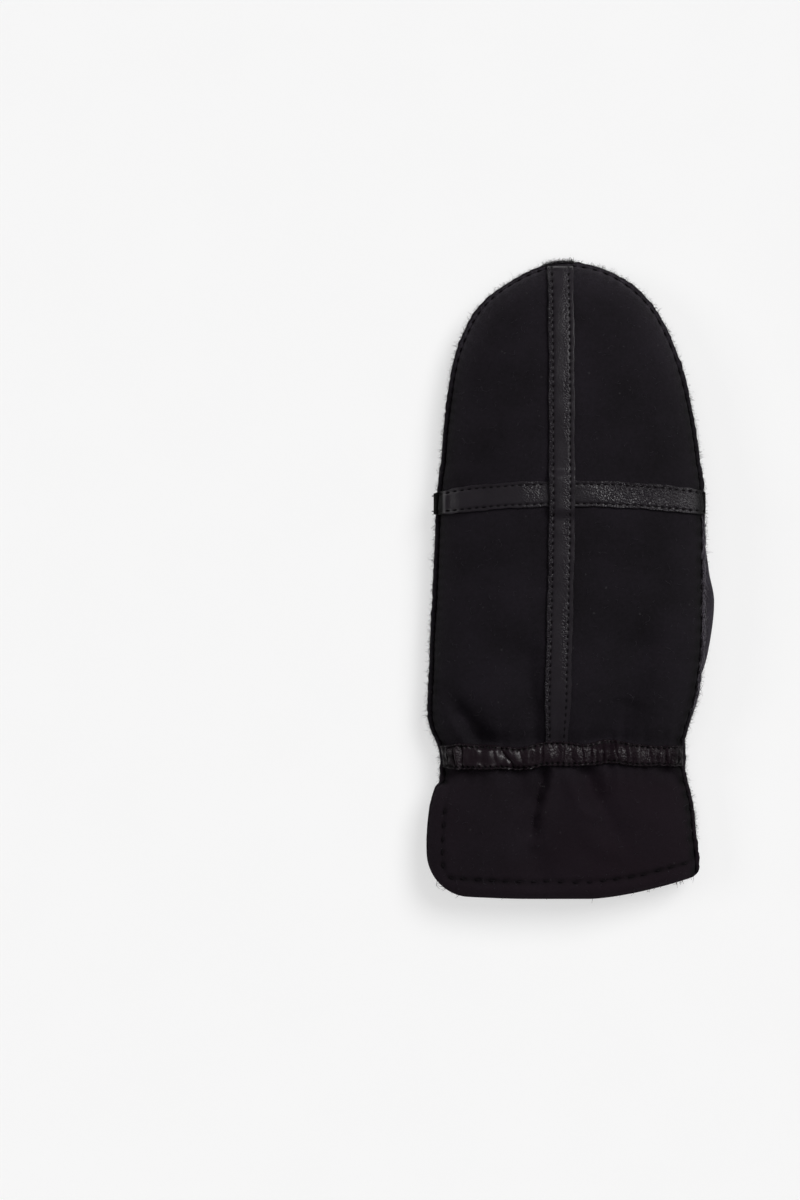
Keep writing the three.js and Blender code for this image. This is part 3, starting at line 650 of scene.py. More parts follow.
# %% The lip with its scallops
def wander(run, seed):
    """An edge cut by hand: slow waves that never quite repeat."""
    turns = np.random.default_rng(seed).uniform(0, 2 * math.pi, 6)
    lengths = (41.0, 23.0, 13.0, 7.3, 4.1, 2.3)
    sizes = (0.16, 0.12, 0.1, 0.08, 0.06, 0.05)
    waves = zip(sizes, lengths, turns)
    return sum(size * np.sin(run * 2 * math.pi / length + turn) for size, length, turn in waves)


LIP_INSETS = np.array([0.0, 0.12, 0.4, 0.8, 1.25, 1.7, 2.1, 2.35])


def lip_columns(height_of, down, seed):
    """The lip's columns, from the cut edge to the stitches, where height_of gives the flat lip's height."""
    pull = near_stitch(seam_count, 1.0, 0.2)[:, None]
    loose = smoothstep(ribs[1][:, 0], -CUFF_LENGTH, -CUFF_LENGTH + 6.0)[:, None]
    drawn = (0.32 * pull + wander(edge_run, seed)[:, None]) * loose
    inset = LIP_INSETS[None, :] + drawn * (1 - LIP_INSETS[None, :] / LIP)
    x, y = where(ribs, np.ones(LIP_INSETS.size), inset)
    rounded = 1.1 * np.maximum(0.0, 1 - LIP_INSETS[None, :] / 1.5) ** 2
    crushed = (0.1 + 1.0 * pull) * (LIP_INSETS[None, :] / LIP) ** 4 * loose
    curl = 0.3 * np.sin(edge_run / 17.0)[:, None] * (1 - LIP_INSETS[None, :] / LIP) * loose
    return x, y, height_of(x, y) - down * (rounded + crushed - curl)


def surface_columns(height_of, reaches, inset, down):
    """The open surface's columns, which the stitches pull down beside the lip."""
    x, y = where(ribs, reaches, inset)
    z = height_of(x, y)
    pull = near_stitch(seam_count, 1.0, 0.24)[:, None]
    beside = hump(1 - reaches[None, :], 0, 0.022)
    return x, y, z - down * 0.8 * pull * beside


def joined(*grids):
    return tuple(np.concatenate(columns, axis=1) for columns in zip(*grids))


def round_the_tip():
    return smoothstep(edge_y, 142.0, 186.0)


def seam_shade(insets):
    """Painted shade along the seam's stitches, darkest where the suede meets the lip, as insets from the cut
    edge.
    """
    sewn = (edge_y > -VENT_TOP) | (edge_x > 0)
    uneven = 0.85 + 0.15 * np.sin(edge_run * 0.37) * np.sin(edge_run * 0.11 + 1.0)
    outward = insets < LIP
    blots_wide = np.where(outward, 1.0, 2.1)
    blots = (uneven * near_stitch(seam_count, 1.0, 0.33))[:, None] * hump(insets, LIP, blots_wide)
    thumb_side = (edge_x > 0)[:, None]
    line_wide = np.where(thumb_side, np.where(outward, 0.6, 2.2), np.where(outward, 1.1, 1.3))
    line = np.where(thumb_side, 0.34, 0.32) * hump(insets, LIP, line_wide)
    kept = 1 - 0.6 * round_the_tip()[:, None]
    return np.clip(1.5 * blots + line, 0, 1) * sewn[:, None] * kept


def seam_painted_light(insets):
    """Where painted light goes: the lip on the thumb's side, which faces the key lamp, and a painted sheen on
    the nap round the tip.
    """
    lit_side = (edge_x > 0) * smoothstep(edge_y, 4.0, 62.0) * (1 - smoothstep(edge_y, 88.0, 108.0))
    lip = lit_side[:, None] * (1 - smoothstep(insets, LIP - 0.9, LIP + 0.1))
    tip_sheen = 0.55 * hump(insets, 2.0, 1.1) + 0.26 * hump(insets, 0, 6.5)
    uneven = (0.85 + 0.15 * np.sin(edge_run * 0.7) * np.sin(edge_run * 0.23))[:, None]
    return np.maximum(lip, round_the_tip()[:, None] * tip_sheen * uneven * smoothstep(insets, 0.3, 1.0))


def outer_insets(x, y):
    """How far each point of a whole outer face, lip and surface, is from the cut edge."""
    from_seam = (1 - outer_reaches[None, :]) * half_width(x, y)
    on_lip = np.broadcast_to(LIP_INSETS, (edge_run.size, LIP_INSETS.size))
    return np.concatenate([on_lip, from_seam + LIP], axis=1)


def outer_shade(x, y):
    """The seam's painted shade for a whole outer face, with painted shade in the hem's crease and stitch
    hollows added.
    """
    crease, hollows = hem_marks(x, y)
    on_hem = crease * (0.22 + 0.2 * np.sin(x * 0.09 + 4.2)) + 0.6 * hollows
    hem = np.concatenate([np.zeros((edge_run.size, LIP_INSETS.size)), on_hem], axis=1)
    return np.maximum(seam_shade(outer_insets(x, y)), np.clip(hem, 0, 1))


outer_reaches = rim_reaches(60)
inner_reaches = rim_reaches(34)
print("columns:", LIP_INSETS.size + outer_reaches.size, "outside and", inner_reaches.size, "inside")

# %% The back panel
back_outside = joined(
    lip_columns(lip_top, 1.0, seed=3),
    surface_columns(back_height, outer_reaches, LIP, down=1.0),
)


def woolly(x, y):
    """Clumps of the pile on the inside, about six millimetres across."""
    clumps = np.sin(x * 1.05 + 1.2 * np.sin(y * 0.53)) * np.sin(y * 0.93 + 1.1 * np.sin(x * 0.61))
    return 0.45 * clumps + 0.2 * np.sin(x * 2.3 + y * 1.9)


def inside_columns(lip_height, height_of, up):
    edge_x, edge_y = where(ribs, np.ones(3), np.array([[0.1, 0.9, 2.0]]))
    x, y = where(ribs, inner_reaches, LIP + WALL)
    z = height_of(x, y) + up * (woolly(x, y) * (1 - inner_reaches[None, :] ** 8) - 0.3)
    return joined((edge_x, edge_y, lip_height(edge_x, edge_y)), (x, y, z))


back_lining = inside_columns(lambda x, y: lip_top(x, y) - WALL, back_inside, up=1.0)
outer_x, outer_y = where(ribs, outer_reaches, LIP)
# Painted shade along the seam and in the hem, stored on the outer face.
shade = outer_shade(outer_x, outer_y)
# Painted light on the lip on the thumb's side and round the tip, stored on the outer face.
wear_and_painted_light = seam_painted_light(outer_insets(outer_x, outer_y))
unpainted = np.zeros_like(back_lining[0])
back = panel_mesh("back_panel_suede", back_outside, back_lining, (shade, unpainted), (wear_and_painted_light, unpainted))
print("back panel:", len(back.data.polygons), "faces")

# %% The palm panel
palm_outside = joined(
    lip_columns(lip_bottom, -1.0, seed=4),
    surface_columns(palm_height, outer_reaches, LIP, down=-1.0),
)
palm_lining = inside_columns(lambda x, y: lip_bottom(x, y) + WALL, palm_inside, up=-1.0)
palm = panel_mesh("palm_panel_suede", palm_lining, palm_outside, (unpainted, shade), (unpainted, wear_and_painted_light))
print("palm panel:", len(palm.data.polygons), "faces")

# %% [markdown]
# The thumb is sewn into an oval hole in the palm. A cutter of the hole's shape takes it out of the palm's two
# faces at once, and the modifier is applied at once, so that what is left is plain mesh.

# %% Cutting the thumb hole
def mouth_ring(wider, z, count):
    """A ring round the thumb's mouth, wider than the hole by so much all round."""
    turn = around(count)
    return placed(
        THUMB_MIDDLE[0] + (THUMB_MOUTH[0] / 2 + wider) * np.cos(turn),
        THUMB_MIDDLE[1] + (THUMB_MOUTH[1] / 2 + wider) * np.sin(turn),
        z,
    )


def apply_modifiers(piece):
    """Makes what the piece's modifiers do a part of its mesh."""
    seen = piece.evaluated_get(bpy.context.evaluated_depsgraph_get())
    mesh = bpy.data.meshes.new_from_object(seen)
    piece.modifiers.clear()
    piece.data = mesh


hole = mouth_ring(0.0, 0.0, 72)
cutter = tubes_mesh("hole", [[hole - [0, 0, 3.0], hole + [0, 0, HAND_DEPTH]]])
cut = palm.modifiers.new("thumb hole", "BOOLEAN")
cut.operation, cut.object, cut.solver = "DIFFERENCE", cutter, "EXACT"
for panel in (back, palm):
    apply_modifiers(panel)
bpy.data.objects.remove(cutter)
print("palm panel with its hole:", len(palm.data.polygons), "faces")

# %% [markdown]
# ## The thumb
# It is a tube of the same suede, closed at its tip, sewn into the palm and pressed flat by the hand above it.
# Rings from the mouth to the tip give its form, smoothed between. Its outer and inner faces are one mesh,
# turned over at the mouth, so the hide has its real thickness there.

# %% The thumb's rings
THUMB_SIDES = 64


def thumb_rings(thinner, last, count):
    """Rings through the table's rows up to the last, drawn in by thinner all round."""
    rows = (THUMB_RINGS + [(1.0, 0.5, 1.0, 0.42, 0.35, 0.12)])[:last]
    at = np.linspace(0, len(rows) - 1, count)
    places = [(float(i),) for i in range(len(rows))]
    top_y, top_z, low_y, low_z, across, half = (
        from_table(places, at, [row[k] for row in rows]) for k in range(6)
    )
    turn = around(THUMB_SIDES)[None, :]
    middle_y = THUMB_MIDDLE[1] + (top_y + low_y) / 2 * THUMB_LENGTH
    middle_z = (top_z + low_z) / 2 * THUMB_DEPTH
    spoke_y, spoke_z = (top_y - low_y) / 2 * THUMB_LENGTH, (top_z - low_z) / 2 * THUMB_DEPTH
    upright = np.hypot(spoke_y, spoke_z)
    share = np.maximum(0.05, (upright - thinner) / np.maximum(upright, 1e-6))
    ring_x = THUMB_MIDDLE[0] + across * THUMB_WIDTH / 2
    ring_half = half * THUMB_WIDTH / 2 - thinner
    turn_x, turn_up = (np.sign(v) * np.abs(v) ** (2 / THUMB_POWER) for v in (np.cos(turn), np.sin(turn)))
    x = ring_x[:, None] + ring_half[:, None] * turn_x
    y = middle_y[:, None] + (spoke_y * share)[:, None] * turn_up
    z = middle_z[:, None] + (spoke_z * share)[:, None] * turn_up
    return placed(x, y, np.maximum(z, 0.05))


thumb_outside = np.concatenate([[mouth_ring(WALL, THUMB_DEPTH, THUMB_SIDES)], thumb_rings(0.0, 10, 84)])
thumb_inside = np.concatenate([[mouth_ring(0.0, THUMB_DEPTH, THUMB_SIDES)], thumb_rings(WALL, 8, 40)])
thumb_wall = np.concatenate([thumb_outside[::-1], thumb_inside])
thumb = tubes_mesh("thumb_suede", [thumb_wall])
print("thumb:", len(thumb.data.polygons), "faces")

# %% [markdown]
# ## The straps
# Each strap is a strip of smooth leather stitched down on the back along both edges. It follows the same
# surface formula, grown outward, and its own section has a rounded edge, a shallow groove where the stitches
# pull it down, and a slight crown between them. The middle strap bridges the one that it crosses.

# %% The strap's section
STRAP_PITCH = 3.0
# how far in the stitches are, and how much the low and the high margin curl up outside them
CENTER_SECTION = (2.0, 0.66, -0.07)
CROSS_SECTION = (1.45, 0.05, 0.12)
edge_shares = closer_at_ends(41, 0.6)


def strap_profile(share, run, section):
    """Height above the strap's underside. The margins outside the stitches may curl up to their edges."""
    stitch_in, low_curl, high_curl = section
    from_edge = (1 - np.abs(share)) * STRAP_WIDTH / 2
    margin = 0.82 + np.where(share < 0, low_curl, high_curl) * (1 - from_edge / stitch_in)
    crowned = 1 - np.clip(1 - (from_edge - stitch_in) / 1.6, 0, 1) ** 2
    crown = 0.2 - 0.12 * smoothstep(share, -0.3, 0.4)
    flat = np.where(from_edge < stitch_in, margin, 0.82 + crown * crowned)
    rising = np.clip(from_edge / 0.32, 0, 1)
    groove = 0.12 * hump(from_edge, stitch_in, 0.35)
    pull = 0.36 * near_stitch(run, STRAP_PITCH, 0.6) * hump(from_edge, stitch_in, 0.5)
    return flat * np.sqrt(rising * (2 - rising)) - groove - pull


def strap_mesh(name, place, stations, section, ends_holes_painted_shade, flexed):
    """place(share, grow, station) gives x, y, z. The shade mask gives where the strap's colour has painted
    shade and is made matt, at its ends; the stitch holes get the same. flexed tells where it is wrinkled.
    """
    run = stations[:, None]
    both = np.concatenate([edge_shares, edge_shares[::-1]])[None, :]
    tops = place(edge_shares[None, :], GAP + strap_profile(edge_shares[None, :], run, section), run)
    unders = place(edge_shares[None, ::-1], GAP * np.ones((1, edge_shares.size)), run)
    piece = tubes_mesh(name, [np.concatenate([placed(*tops), placed(*unders)], axis=1)], flip=True)
    from_row = (1 - np.abs(both)) * STRAP_WIDTH / 2 - section[0]
    # Painted shade: the stitch holes are darkened and made matt.
    holes = 0.9 * near_stitch(run, STRAP_PITCH, 0.75) * hump(from_row, 0, 0.4)
    painted(piece, "ends_holes_painted_shade", np.maximum(ends_holes_painted_shade(run, both), holes))
    painted(piece, "flexed", flexed(run, both))
    return piece


print("strap:", edge_shares.size, "points across,", STRAP_PITCH, "mm a stitch")

# %% The cross strap
def cross_place(share, grow, run):
    x = run + 0 * share
    side = np.where(x < 0, -1, 1)
    edge = half_width(side, np.full_like(x, CROSS_STRAP_RISE))
    wobble = 0.14 * np.sin(x * 0.33 + 2 * np.sign(share)) + 0.1 * np.sin(x * 0.9 + np.sign(share))
    across = np.clip(np.abs(x) / edge, 0, 1)
    y = CROSS_STRAP_RISE - CROSS_STRAP_ARCH * across**2 + share * STRAP_WIDTH / 2
    y = y + wobble * np.abs(share) ** 3
    past = np.abs(x) - edge
    ends_past = np.where(x < 0, *STRAP_ENDS_PAST)
    narrowed = 1 - 0.1 * smoothstep(past, -7.0, -2.5) - 0.12 * smoothstep(past, -1.5, 1.2)
    y = y + share * (narrowed - 1) * STRAP_WIDTH / 2
    on_back = back_height(side * np.minimum(np.abs(x), half_width(side, y)), y, grow)
    bend = np.clip((past + 0.2) / (ends_past + 0.2), 0, 1)
    drop = 2.6 * (1 - np.sqrt(1 - bend**2))
    dip_wide = np.where(past < -5.5, 3.6, 1.5)
    pinch_and_shade = np.where(
        x < 0,
        0.7 * hump(past, -5.5, dip_wide) - 0.35 * hump(past, -3.0, 1.2),
        0.25 * hump(past, -1.2, 1.1),
    ) * (1 - 0.5 * np.abs(share))
    return x, y, on_back - drop - pinch_and_shade


cross_edge = [float(half_width(side, np.float64(CROSS_STRAP_RISE - CROSS_STRAP_ARCH))) for side in (-1, 1)]
inward = np.linspace(-1, 1, 240)
cross_run = np.where(inward < 0, cross_edge[0], cross_edge[1]) * np.sin(inward * math.pi / 2)
cross_run = np.concatenate([
    -cross_edge[0] - STRAP_ENDS_PAST[0] * np.sin(np.linspace(1, 0.1, 6) * math.pi / 2),
    cross_run,
    cross_edge[1] + STRAP_ENDS_PAST[1] * np.sin(np.linspace(0.1, 1, 6) * math.pi / 2),
])


def past_cross_edge(run):
    return np.abs(run) - np.where(run < 0, *cross_edge)


def cross_painted_shade(run, share):
    """Painted shade: the ends are darkened and made matt towards the seam, over more of the strap on the
    thumb's side.
    """
    past = past_cross_edge(run)
    return np.where(run < 0, smoothstep(past, -3.4, -2.0), 0.95 * smoothstep(past, -6.5, -1.8)) + 0 * share


def cross_flexed(run, share):
    """Wrinkled towards the thumb's side, in one patch left of the middle and at the left end."""
    patches = np.maximum(smoothstep(run, -2.0, 30.0), 0.5 * hump(run, -16.0, 5.0))
    left_end = 0.6 * smoothstep(past_cross_edge(run), -3.0, -1.0) * (run < 0)
    return patches * (0.75 + 0.25 * share) + left_end


cross = strap_mesh(
    "cross_strap_leather", cross_place, cross_run, CROSS_SECTION,
    ends_holes_painted_shade=cross_painted_shade, flexed=cross_flexed,
)
print("cross strap:", len(cross.data.polygons), "faces")

# %% The middle strap
STRAP_END = HAND_LENGTH - 1.6


def bridge(y):
    """How far the middle strap is lifted where it passes over the cross strap."""
    beside = smoothstep(np.abs(y - CROSS_STRAP_RISE), STRAP_WIDTH * 0.56, STRAP_WIDTH)
    return (STRAP_DEPTH + 0.25 + GAP) * (1 - beside)


def center_place(share, grow, run):
    y = run + 0 * share
    wobble = 0.16 * np.sin(y * 0.21 + 2 * np.sign(share)) + 0.1 * np.sin(y * 0.83 + np.sign(share))
    narrow = 1 - 0.17 * smoothstep(-y, -22.0, -4.0)
    drift = 0.4 - 1.7 * smoothstep(-y, -112.0, -6.0)
    x = -CENTER_STRAP_SIDE + drift + share * narrow * STRAP_WIDTH / 2 + wobble * np.abs(share) ** 3
    bend = np.clip((y - STRAP_END + 1.4) / 1.4, 0, 1)
    drop = 2.0 * (1 - np.sqrt(np.maximum(0.0, 1 - bend**2)))
    swell = 0.8 * hump(y, STRAP_END - 1.5, 0.8)
    return x, y, back_height(x, y, grow + bridge(y)) - drop + swell


def down_the_end(count):
    """Stations over the rounded end, close together where it turns down to the seam."""
    return TIP_START + (TIP_LENGTH - LIP) * np.sin(np.linspace(0, math.pi / 2, count)) ** 0.8


center_run = np.concatenate([
    np.arange(-1.0, TIP_START - 0.3, 0.5),
    down_the_end(220)[:-1],
    STRAP_END - 0.5 + 0.5 * np.sin(np.linspace(0.1, 1, 7) * math.pi / 2),
])


def glinting(run):
    """How wrinkled the leather is along the strap, in patches of two or three centimetres."""
    return 0.36 + 0.2 * np.sin(run * 0.13 + 1.0) + 0.16 * np.sin(run * 0.31 + 2.6)


# Painted shade: the middle strap's last millimetre, where it turns down over the tip, is darkened and made
# matt.
def center_painted_shade(run, share):
    return smoothstep(run, STRAP_END - 0.9, STRAP_END - 0.2) + 0 * share


def center_flexed(run, share):
    """Wrinkled in a line right of the middle and along the left margin."""
    line = 1.1 * glinting(run) * hump(share, 0.37, 0.2) * smoothstep(run, -5.0, 40.0)
    return np.maximum(line, 0.95 * smoothstep(-share, 0.62, 0.74))


center = strap_mesh(
    "center_strap_leather", center_place, center_run, CENTER_SECTION,
    ends_holes_painted_shade=center_painted_shade, flexed=center_flexed,
)
print("middle strap:", len(center.data.polygons), "faces")

# %% [markdown]
# ## The gathered wrist band
# The band is a casing of smooth leather over elastic. The elastic draws it in, so the leather stands up in
# small pillows between creases, and its long edges wander. The creases are listed one by one, denser where the
# leather is bunched, and each one leans a little, which gives the slanting highlights.

# %% The band's creases and edges
# across the wrist in mm from the middle line, slant of the crease, how deep it is (1 goes to the elastic)
CREASES = [
    (-52.6, 0.3, 0.8), (-49.6, -0.6, 0.9), (-46.9, 0.5, 0.9), (-43.6, -0.3, 0.8), (-38.6, 0.5, 0.12),
    (-34.4, 0.4, 0.1), (-29.9, 0.8, 0.3), (-25.3, 2.3, 1.0), (-19.2, 0.6, 0.35),
    (-15.0, 0.3, 0.5), (-10.7, -0.2, 1.0), (-6.2, 0.4, 0.3), (-2.0, -0.4, 0.35), (1.2, 0.5, 0.3),
    (5.6, 0.3, 0.6), (8.6, -0.5, 0.4), (11.0, 0.3, 0.5), (14.2, 0.2, 1.0), (16.6, -0.6, 0.6),
    (19.4, 0.6, 0.75), (22.9, 1.4, 0.55), (25.8, 0.3, 0.5), (29.4, -0.4, 0.4), (33.1, 0.6, 0.5),
    (36.4, -0.5, 0.75), (39.6, 0.4, 0.85), (42.0, -0.4, 1.0), (44.3, 0.6, 0.9), (46.6, 0.1, 0.8),
]
# across in mm, the band's upper and lower edge in mm from the wrist line
BAND_EDGES = [
    (-56.0, 3.9, -4.4), (-50.0, 4.6, -5.2), (-44.0, 5.6, -5.6), (-38.0, 5.1, -5.4), (-32.0, 5.0, -5.3),
    (-27.0, 4.6, -5.1), (-21.0, 4.0, -5.7), (-15.5, 4.9, -5.2), (-10.5, 6.4, -3.9), (-5.0, 6.8, -3.7),
    (0.5, 6.3, -3.8), (6.0, 5.4, -3.7), (10.5, 6.1, -3.4), (14.5, 7.2, -2.8), (19.5, 7.1, -2.8),
    (25.0, 5.9, -3.6), (31.0, 5.2, -4.0), (37.0, 4.6, -3.8), (43.0, 4.7, -4.2), (50.0, 4.2, -4.2),
]
# bunched leather at the two ends: across in mm, and across the band from -1 to 1
KNOTS = [
    (-52.4, -0.5), (-51.0, 0.1), (-49.6, -0.7), (-48.4, 0.4),
    (46.8, 0.5), (45.2, -0.2), (43.3, 0.3), (47.6, -0.6),
]
BAND_PITCH = 2.3
BAND_ROW = 0.8
BAND_COLUMNS = 33
STITCHED_COLUMN = 4


def band_relief(x, e, seed):
    """Height of the gathered leather as a share of its depth, at x and at e across the band (-1 to 1)."""
    places = np.array([row[0] for row in CREASES])
    fullness = np.random.default_rng(seed).uniform(0.82, 1.0, places.size + 1)
    deepest = np.zeros(np.broadcast_shapes(np.shape(x), np.shape(e)))
    for place, slant, deep in CREASES:
        away = np.abs(x - place + slant * (e + 0.3 * np.sin(3 * e + place)))
        deepest = np.maximum(deepest, deep * np.exp(-((away / (0.6 + 0.25 * abs(slant))) ** 1.2)))
    pillow = np.interp(x, np.append(places, 54.0), fullness)
    smooth = np.sin(0.9 * x + 1.7 * e + seed) * np.sin(0.37 * x - 2.1 * e)
    return pillow * (1 - 0.72 * deepest) + 0.09 * smooth


def band_section(x, e, seed, bunched):
    """The band's thickness: a flat tube of leather, drawn down along its two stitch rows."""
    edge = np.clip((1 - np.abs(e)) / 0.08, 0, 1)
    rounded = np.sqrt(edge * (2 - edge))
    rows = hump(np.abs(e), BAND_ROW, 0.06)
    pull = near_stitch(x, BAND_PITCH, 0.5) * hump(np.abs(e), BAND_ROW, 0.12)
    hill = 0.78 + 0.22 * np.maximum(0.0, 1 - (e / 0.7) ** 2)
    knots = sum(hump(x, at, 1.1) * hump(e, up, 0.3) for at, up in KNOTS)
    knots = knots * (1 - smoothstep(np.abs(e), 0.55, 0.85))
    body = 0.45 + (BAND_DEPTH + 0.1) * hill * band_relief(x, e, seed)
    rolled = np.where(e < 0, 0.45, -0.25) * smoothstep(np.abs(e), BAND_ROW, 0.96)
    return rounded * (body - 0.4 * rows - 0.7 * pull + bunched * knots + rolled)


print(len(CREASES), "creases, about", round(102 / len(CREASES), 1), "mm apart")

# %% The two bands
def band_mesh(name, height, seed, edges, bunched, flat_from):
    """The band on a height formula. bunched is how high its knots are, flat_from where its ends go flat."""
    left, right = (float(half_width(side, np.float64(0))) - LIP for side in (-1, 1))
    x = np.linspace(-left, right, 480)[:, None]
    e = closer_at_ends(BAND_COLUMNS, 0.5)[None, :]
    ruffle = 0.5 * band_relief(x, np.sign(e), seed + 5) - 0.25
    pucker = 0.22 * near_stitch(x, BAND_PITCH, 0.6)
    upper = from_table(edges, x, [row[1] for row in edges]) + ruffle - pucker
    lower = from_table(edges, x, [row[2] for row in edges]) - ruffle + pucker
    y = (upper + lower) / 2 + e * (upper - lower) / 2
    side = np.where(x < 0, -1, 1)
    reach = np.abs(x) / np.where(x < 0, left, right)
    thick = band_section(x, e, seed, bunched) * (1 - 0.45 * smoothstep(reach, 0.9, 1.0))
    # The very end is sewn flat into the seam.
    sewn_flat = smoothstep(reach, flat_from, 0.985)
    thick = thick + (np.minimum(thick, 0.7) - thick) * sewn_flat

    def at(grow):
        seam = half_width(side, y) - LIP + grow
        return side * reach * seam, y, height(side * reach * seam, y, grow)

    tops, unders = placed(*at(GAP + thick)), placed(*at(GAP * 0.5))
    rings = np.concatenate([tops, unders[:, ::-1]], axis=1)
    piece = tubes_mesh(name, [rings], flip=height is back_height)
    both = np.concatenate([e, e[:, ::-1]], axis=1)
    # Painted shade: the stitch holes and, in mottled patches, the bunched ends are darkened and made matt.
    holes = near_stitch(x, BAND_PITCH, 0.62) * hump(np.abs(both), BAND_ROW, 0.13)
    mottled = 0.55 + 0.45 * np.sin(2.1 * x + 3.0 * both) * np.sin(0.9 * x - 4.0 * both)
    painted(piece, "ends_holes_painted_shade", np.maximum(mottled * smoothstep(reach, 0.86, 0.92), holes))
    wrinkled = 0.55 * np.maximum(smoothstep(x, -30.0, 5.0), smoothstep(-x, 40.0, 46.0))
    painted(piece, "flexed", wrinkled + 0 * both)
    return piece, tops


band_back, back_tops = band_mesh("wrist_band_back_leather", back_height, 11, BAND_EDGES, 1.1, 0.94)
plain_edges = [(row[0], 5.2, -5.2) for row in BAND_EDGES]
band_palm, palm_tops = band_mesh("wrist_band_palm_leather", palm_height, 12, plain_edges, 0.0, 0.86)
print("bands:", len(band_back.data.polygons), "and", len(band_palm.data.polygons), "faces")

# %% [markdown]
# ## Thread
# Every stitch is a short bow of waxed thread whose ends dive into the leather. One function takes the two
# ends and the outward direction of all stitches of a row and makes them one mesh, because a few hundred
# small objects would be slow to handle.

# %% Stitches as one mesh
STRAP_STITCH = 1.9
BAND_STITCH = 1.4
SEAM_STITCH = 2.3
HEM_STITCH = 3.0


def round_path(path, thin, aside, upward, sides):
    """Rings round paths of tubes x steps x 3, spanned by two directions for each tube."""
    turn = around(sides)[None, None, :, None]
    spokes = np.cos(turn) * aside[:, None, None] + np.sin(turn) * upward[:, None, None]
    return path[:, :, None] + thin[..., None] * spokes


def stitch_mesh(name, starts, ends, outward, radius, rise, sink):
    """Bows from starts to ends. outward points off the surface, rise is the bow's height over it."""
    starts, ends, outward = (np.asarray(v, dtype=float) for v in (starts, ends, outward))
    steps, sides = 7, 6
    t = np.linspace(0, 1, steps)[None, :, None]
    bow = rise - (rise + sink) * np.abs(2 * t - 1) ** 2.5
    path = starts[:, None] * (1 - t) + ends[:, None] * t + outward[:, None] * bow
    sideways = unit(np.cross(unit(ends - starts), outward))
    thin = radius * (0.55 + 0.45 * np.sin(math.pi * t))
    return tubes_mesh(name, round_path(path, thin, sideways, outward, sides), sharp=80)


def row_of_stitches(place, runs, length):
    """Start, end and outward direction of stitches whose middles are at runs along a row."""
    a, b = (placed(*place(runs + d)) for d in (-length / 2, length / 2))
    across = placed(*place(runs, 0.4)) - placed(*place(runs, -0.4))
    outward = unit(np.cross(b - a, across))
    return a, b, outward * np.sign(outward[:, 2:3])


def stacked(rows):
    return (np.concatenate(parts) for parts in zip(*rows))


# %% The straps' stitches
def strap_rows_of(place, section, runs):
    """The two rows of stitches of one strap, at its section's distance from both edges."""
    rows = []
    stitch_in = section[0] / (STRAP_WIDTH / 2)
    for share in (-1 + stitch_in, 1 - stitch_in):
        def on(run, off=0.0):
            s = np.full_like(run, share + off / (STRAP_WIDTH / 2))
            return place(s, GAP + strap_profile(s, 1.0, section), run)
        rows.append(row_of_stitches(on, runs, STRAP_STITCH))
    return rows


cross_runs = np.arange(-19, 19) * STRAP_PITCH
under_middle = np.abs(cross_runs + CENTER_STRAP_SIDE) > STRAP_WIDTH / 2 + 0.6
cross_runs = cross_runs[under_middle]
center_runs = np.arange(2, 70) * STRAP_PITCH
center_runs = center_runs[center_runs < STRAP_END - 1.8]
strap_rows = strap_rows_of(cross_place, CROSS_SECTION, cross_runs)
strap_rows += strap_rows_of(center_place, CENTER_SECTION, center_runs)
strap_thread = stitch_mesh("strap_stitches", *stacked(strap_rows), radius=0.24, rise=0.1, sink=0.35)
print("strap stitches:", 2 * (cross_runs.size + center_runs.size))

# %% The band's stitches
def band_stitches(tops, facing):
    """Two rows per band, found on the band's own grid."""
    run = tops[:, BAND_COLUMNS // 2, 0]
    first, last = math.ceil(run[0] / BAND_PITCH) + 1, math.floor(run[-1] / BAND_PITCH)
    middles = np.arange(first, last) * BAND_PITCH
    outward = np.tile([0.0, 0.0, facing], (middles.size, 1))
    rows = []
    for column in (STITCHED_COLUMN, BAND_COLUMNS - 1 - STITCHED_COLUMN):
        path = tops[:, column]
        starts, ends = (points_at(middles + d, run, path) for d in (-BAND_STITCH / 2, BAND_STITCH / 2))
        rows.append((starts, ends, outward))
    return rows


band_rows = band_stitches(back_tops, 1.0) + band_stitches(palm_tops, -1.0)
band_thread = stitch_mesh("band_stitches", *stacked(band_rows), radius=0.32, rise=0.2, sink=0.4)
print("band stitches:", sum(len(row[0]) for row in band_rows))

# %% The side seam's and the hem's stitches
def edge_place(height, inset, off_height):
    """A function that gives x, y and z at a run along the edge, at an inset from it."""
    def on(run, off=0.0):
        rib = np.interp(run, edge_run, np.arange(edge_run.size))
        low = np.clip(rib.astype(int), 0, edge_run.size - 2)
        part = rib - low
        both = []
        for i in (low, low + 1):
            chosen = tuple(values[i] for values in ribs)
            x, y = where(chosen, np.ones(1), inset + off)
            both.append(placed(x[:, 0], y[:, 0], height(x, y)[:, 0] + off_height))
        at = both[0] * (1 - part[:, None]) + both[1] * part[:, None]
        return at[:, 0], at[:, 1], at[:, 2]
    return on


vent_run = float(np.interp(-VENT_TOP, edge_y[up_the_side], edge_run[up_the_side]))
first_stitch = math.ceil(float(np.interp(vent_run, edge_run, seam_count)))
seam_runs = np.interp(np.arange(first_stitch, seam_count[-1] - 1.2), seam_count, edge_run)
seam_top = row_of_stitches(edge_place(lip_top, LIP - 0.3, -0.5), seam_runs, SEAM_STITCH)
starts, ends, outward = row_of_stitches(edge_place(lip_bottom, LIP - 0.3, 0.5), seam_runs, SEAM_STITCH)
seam_rows = [seam_top, (starts, ends, -outward)]
seam_thread = stitch_mesh("seam_stitches", *stacked(seam_rows), radius=0.5, rise=0.3, sink=0.5)
print("seam stitches:", 2 * seam_runs.size)


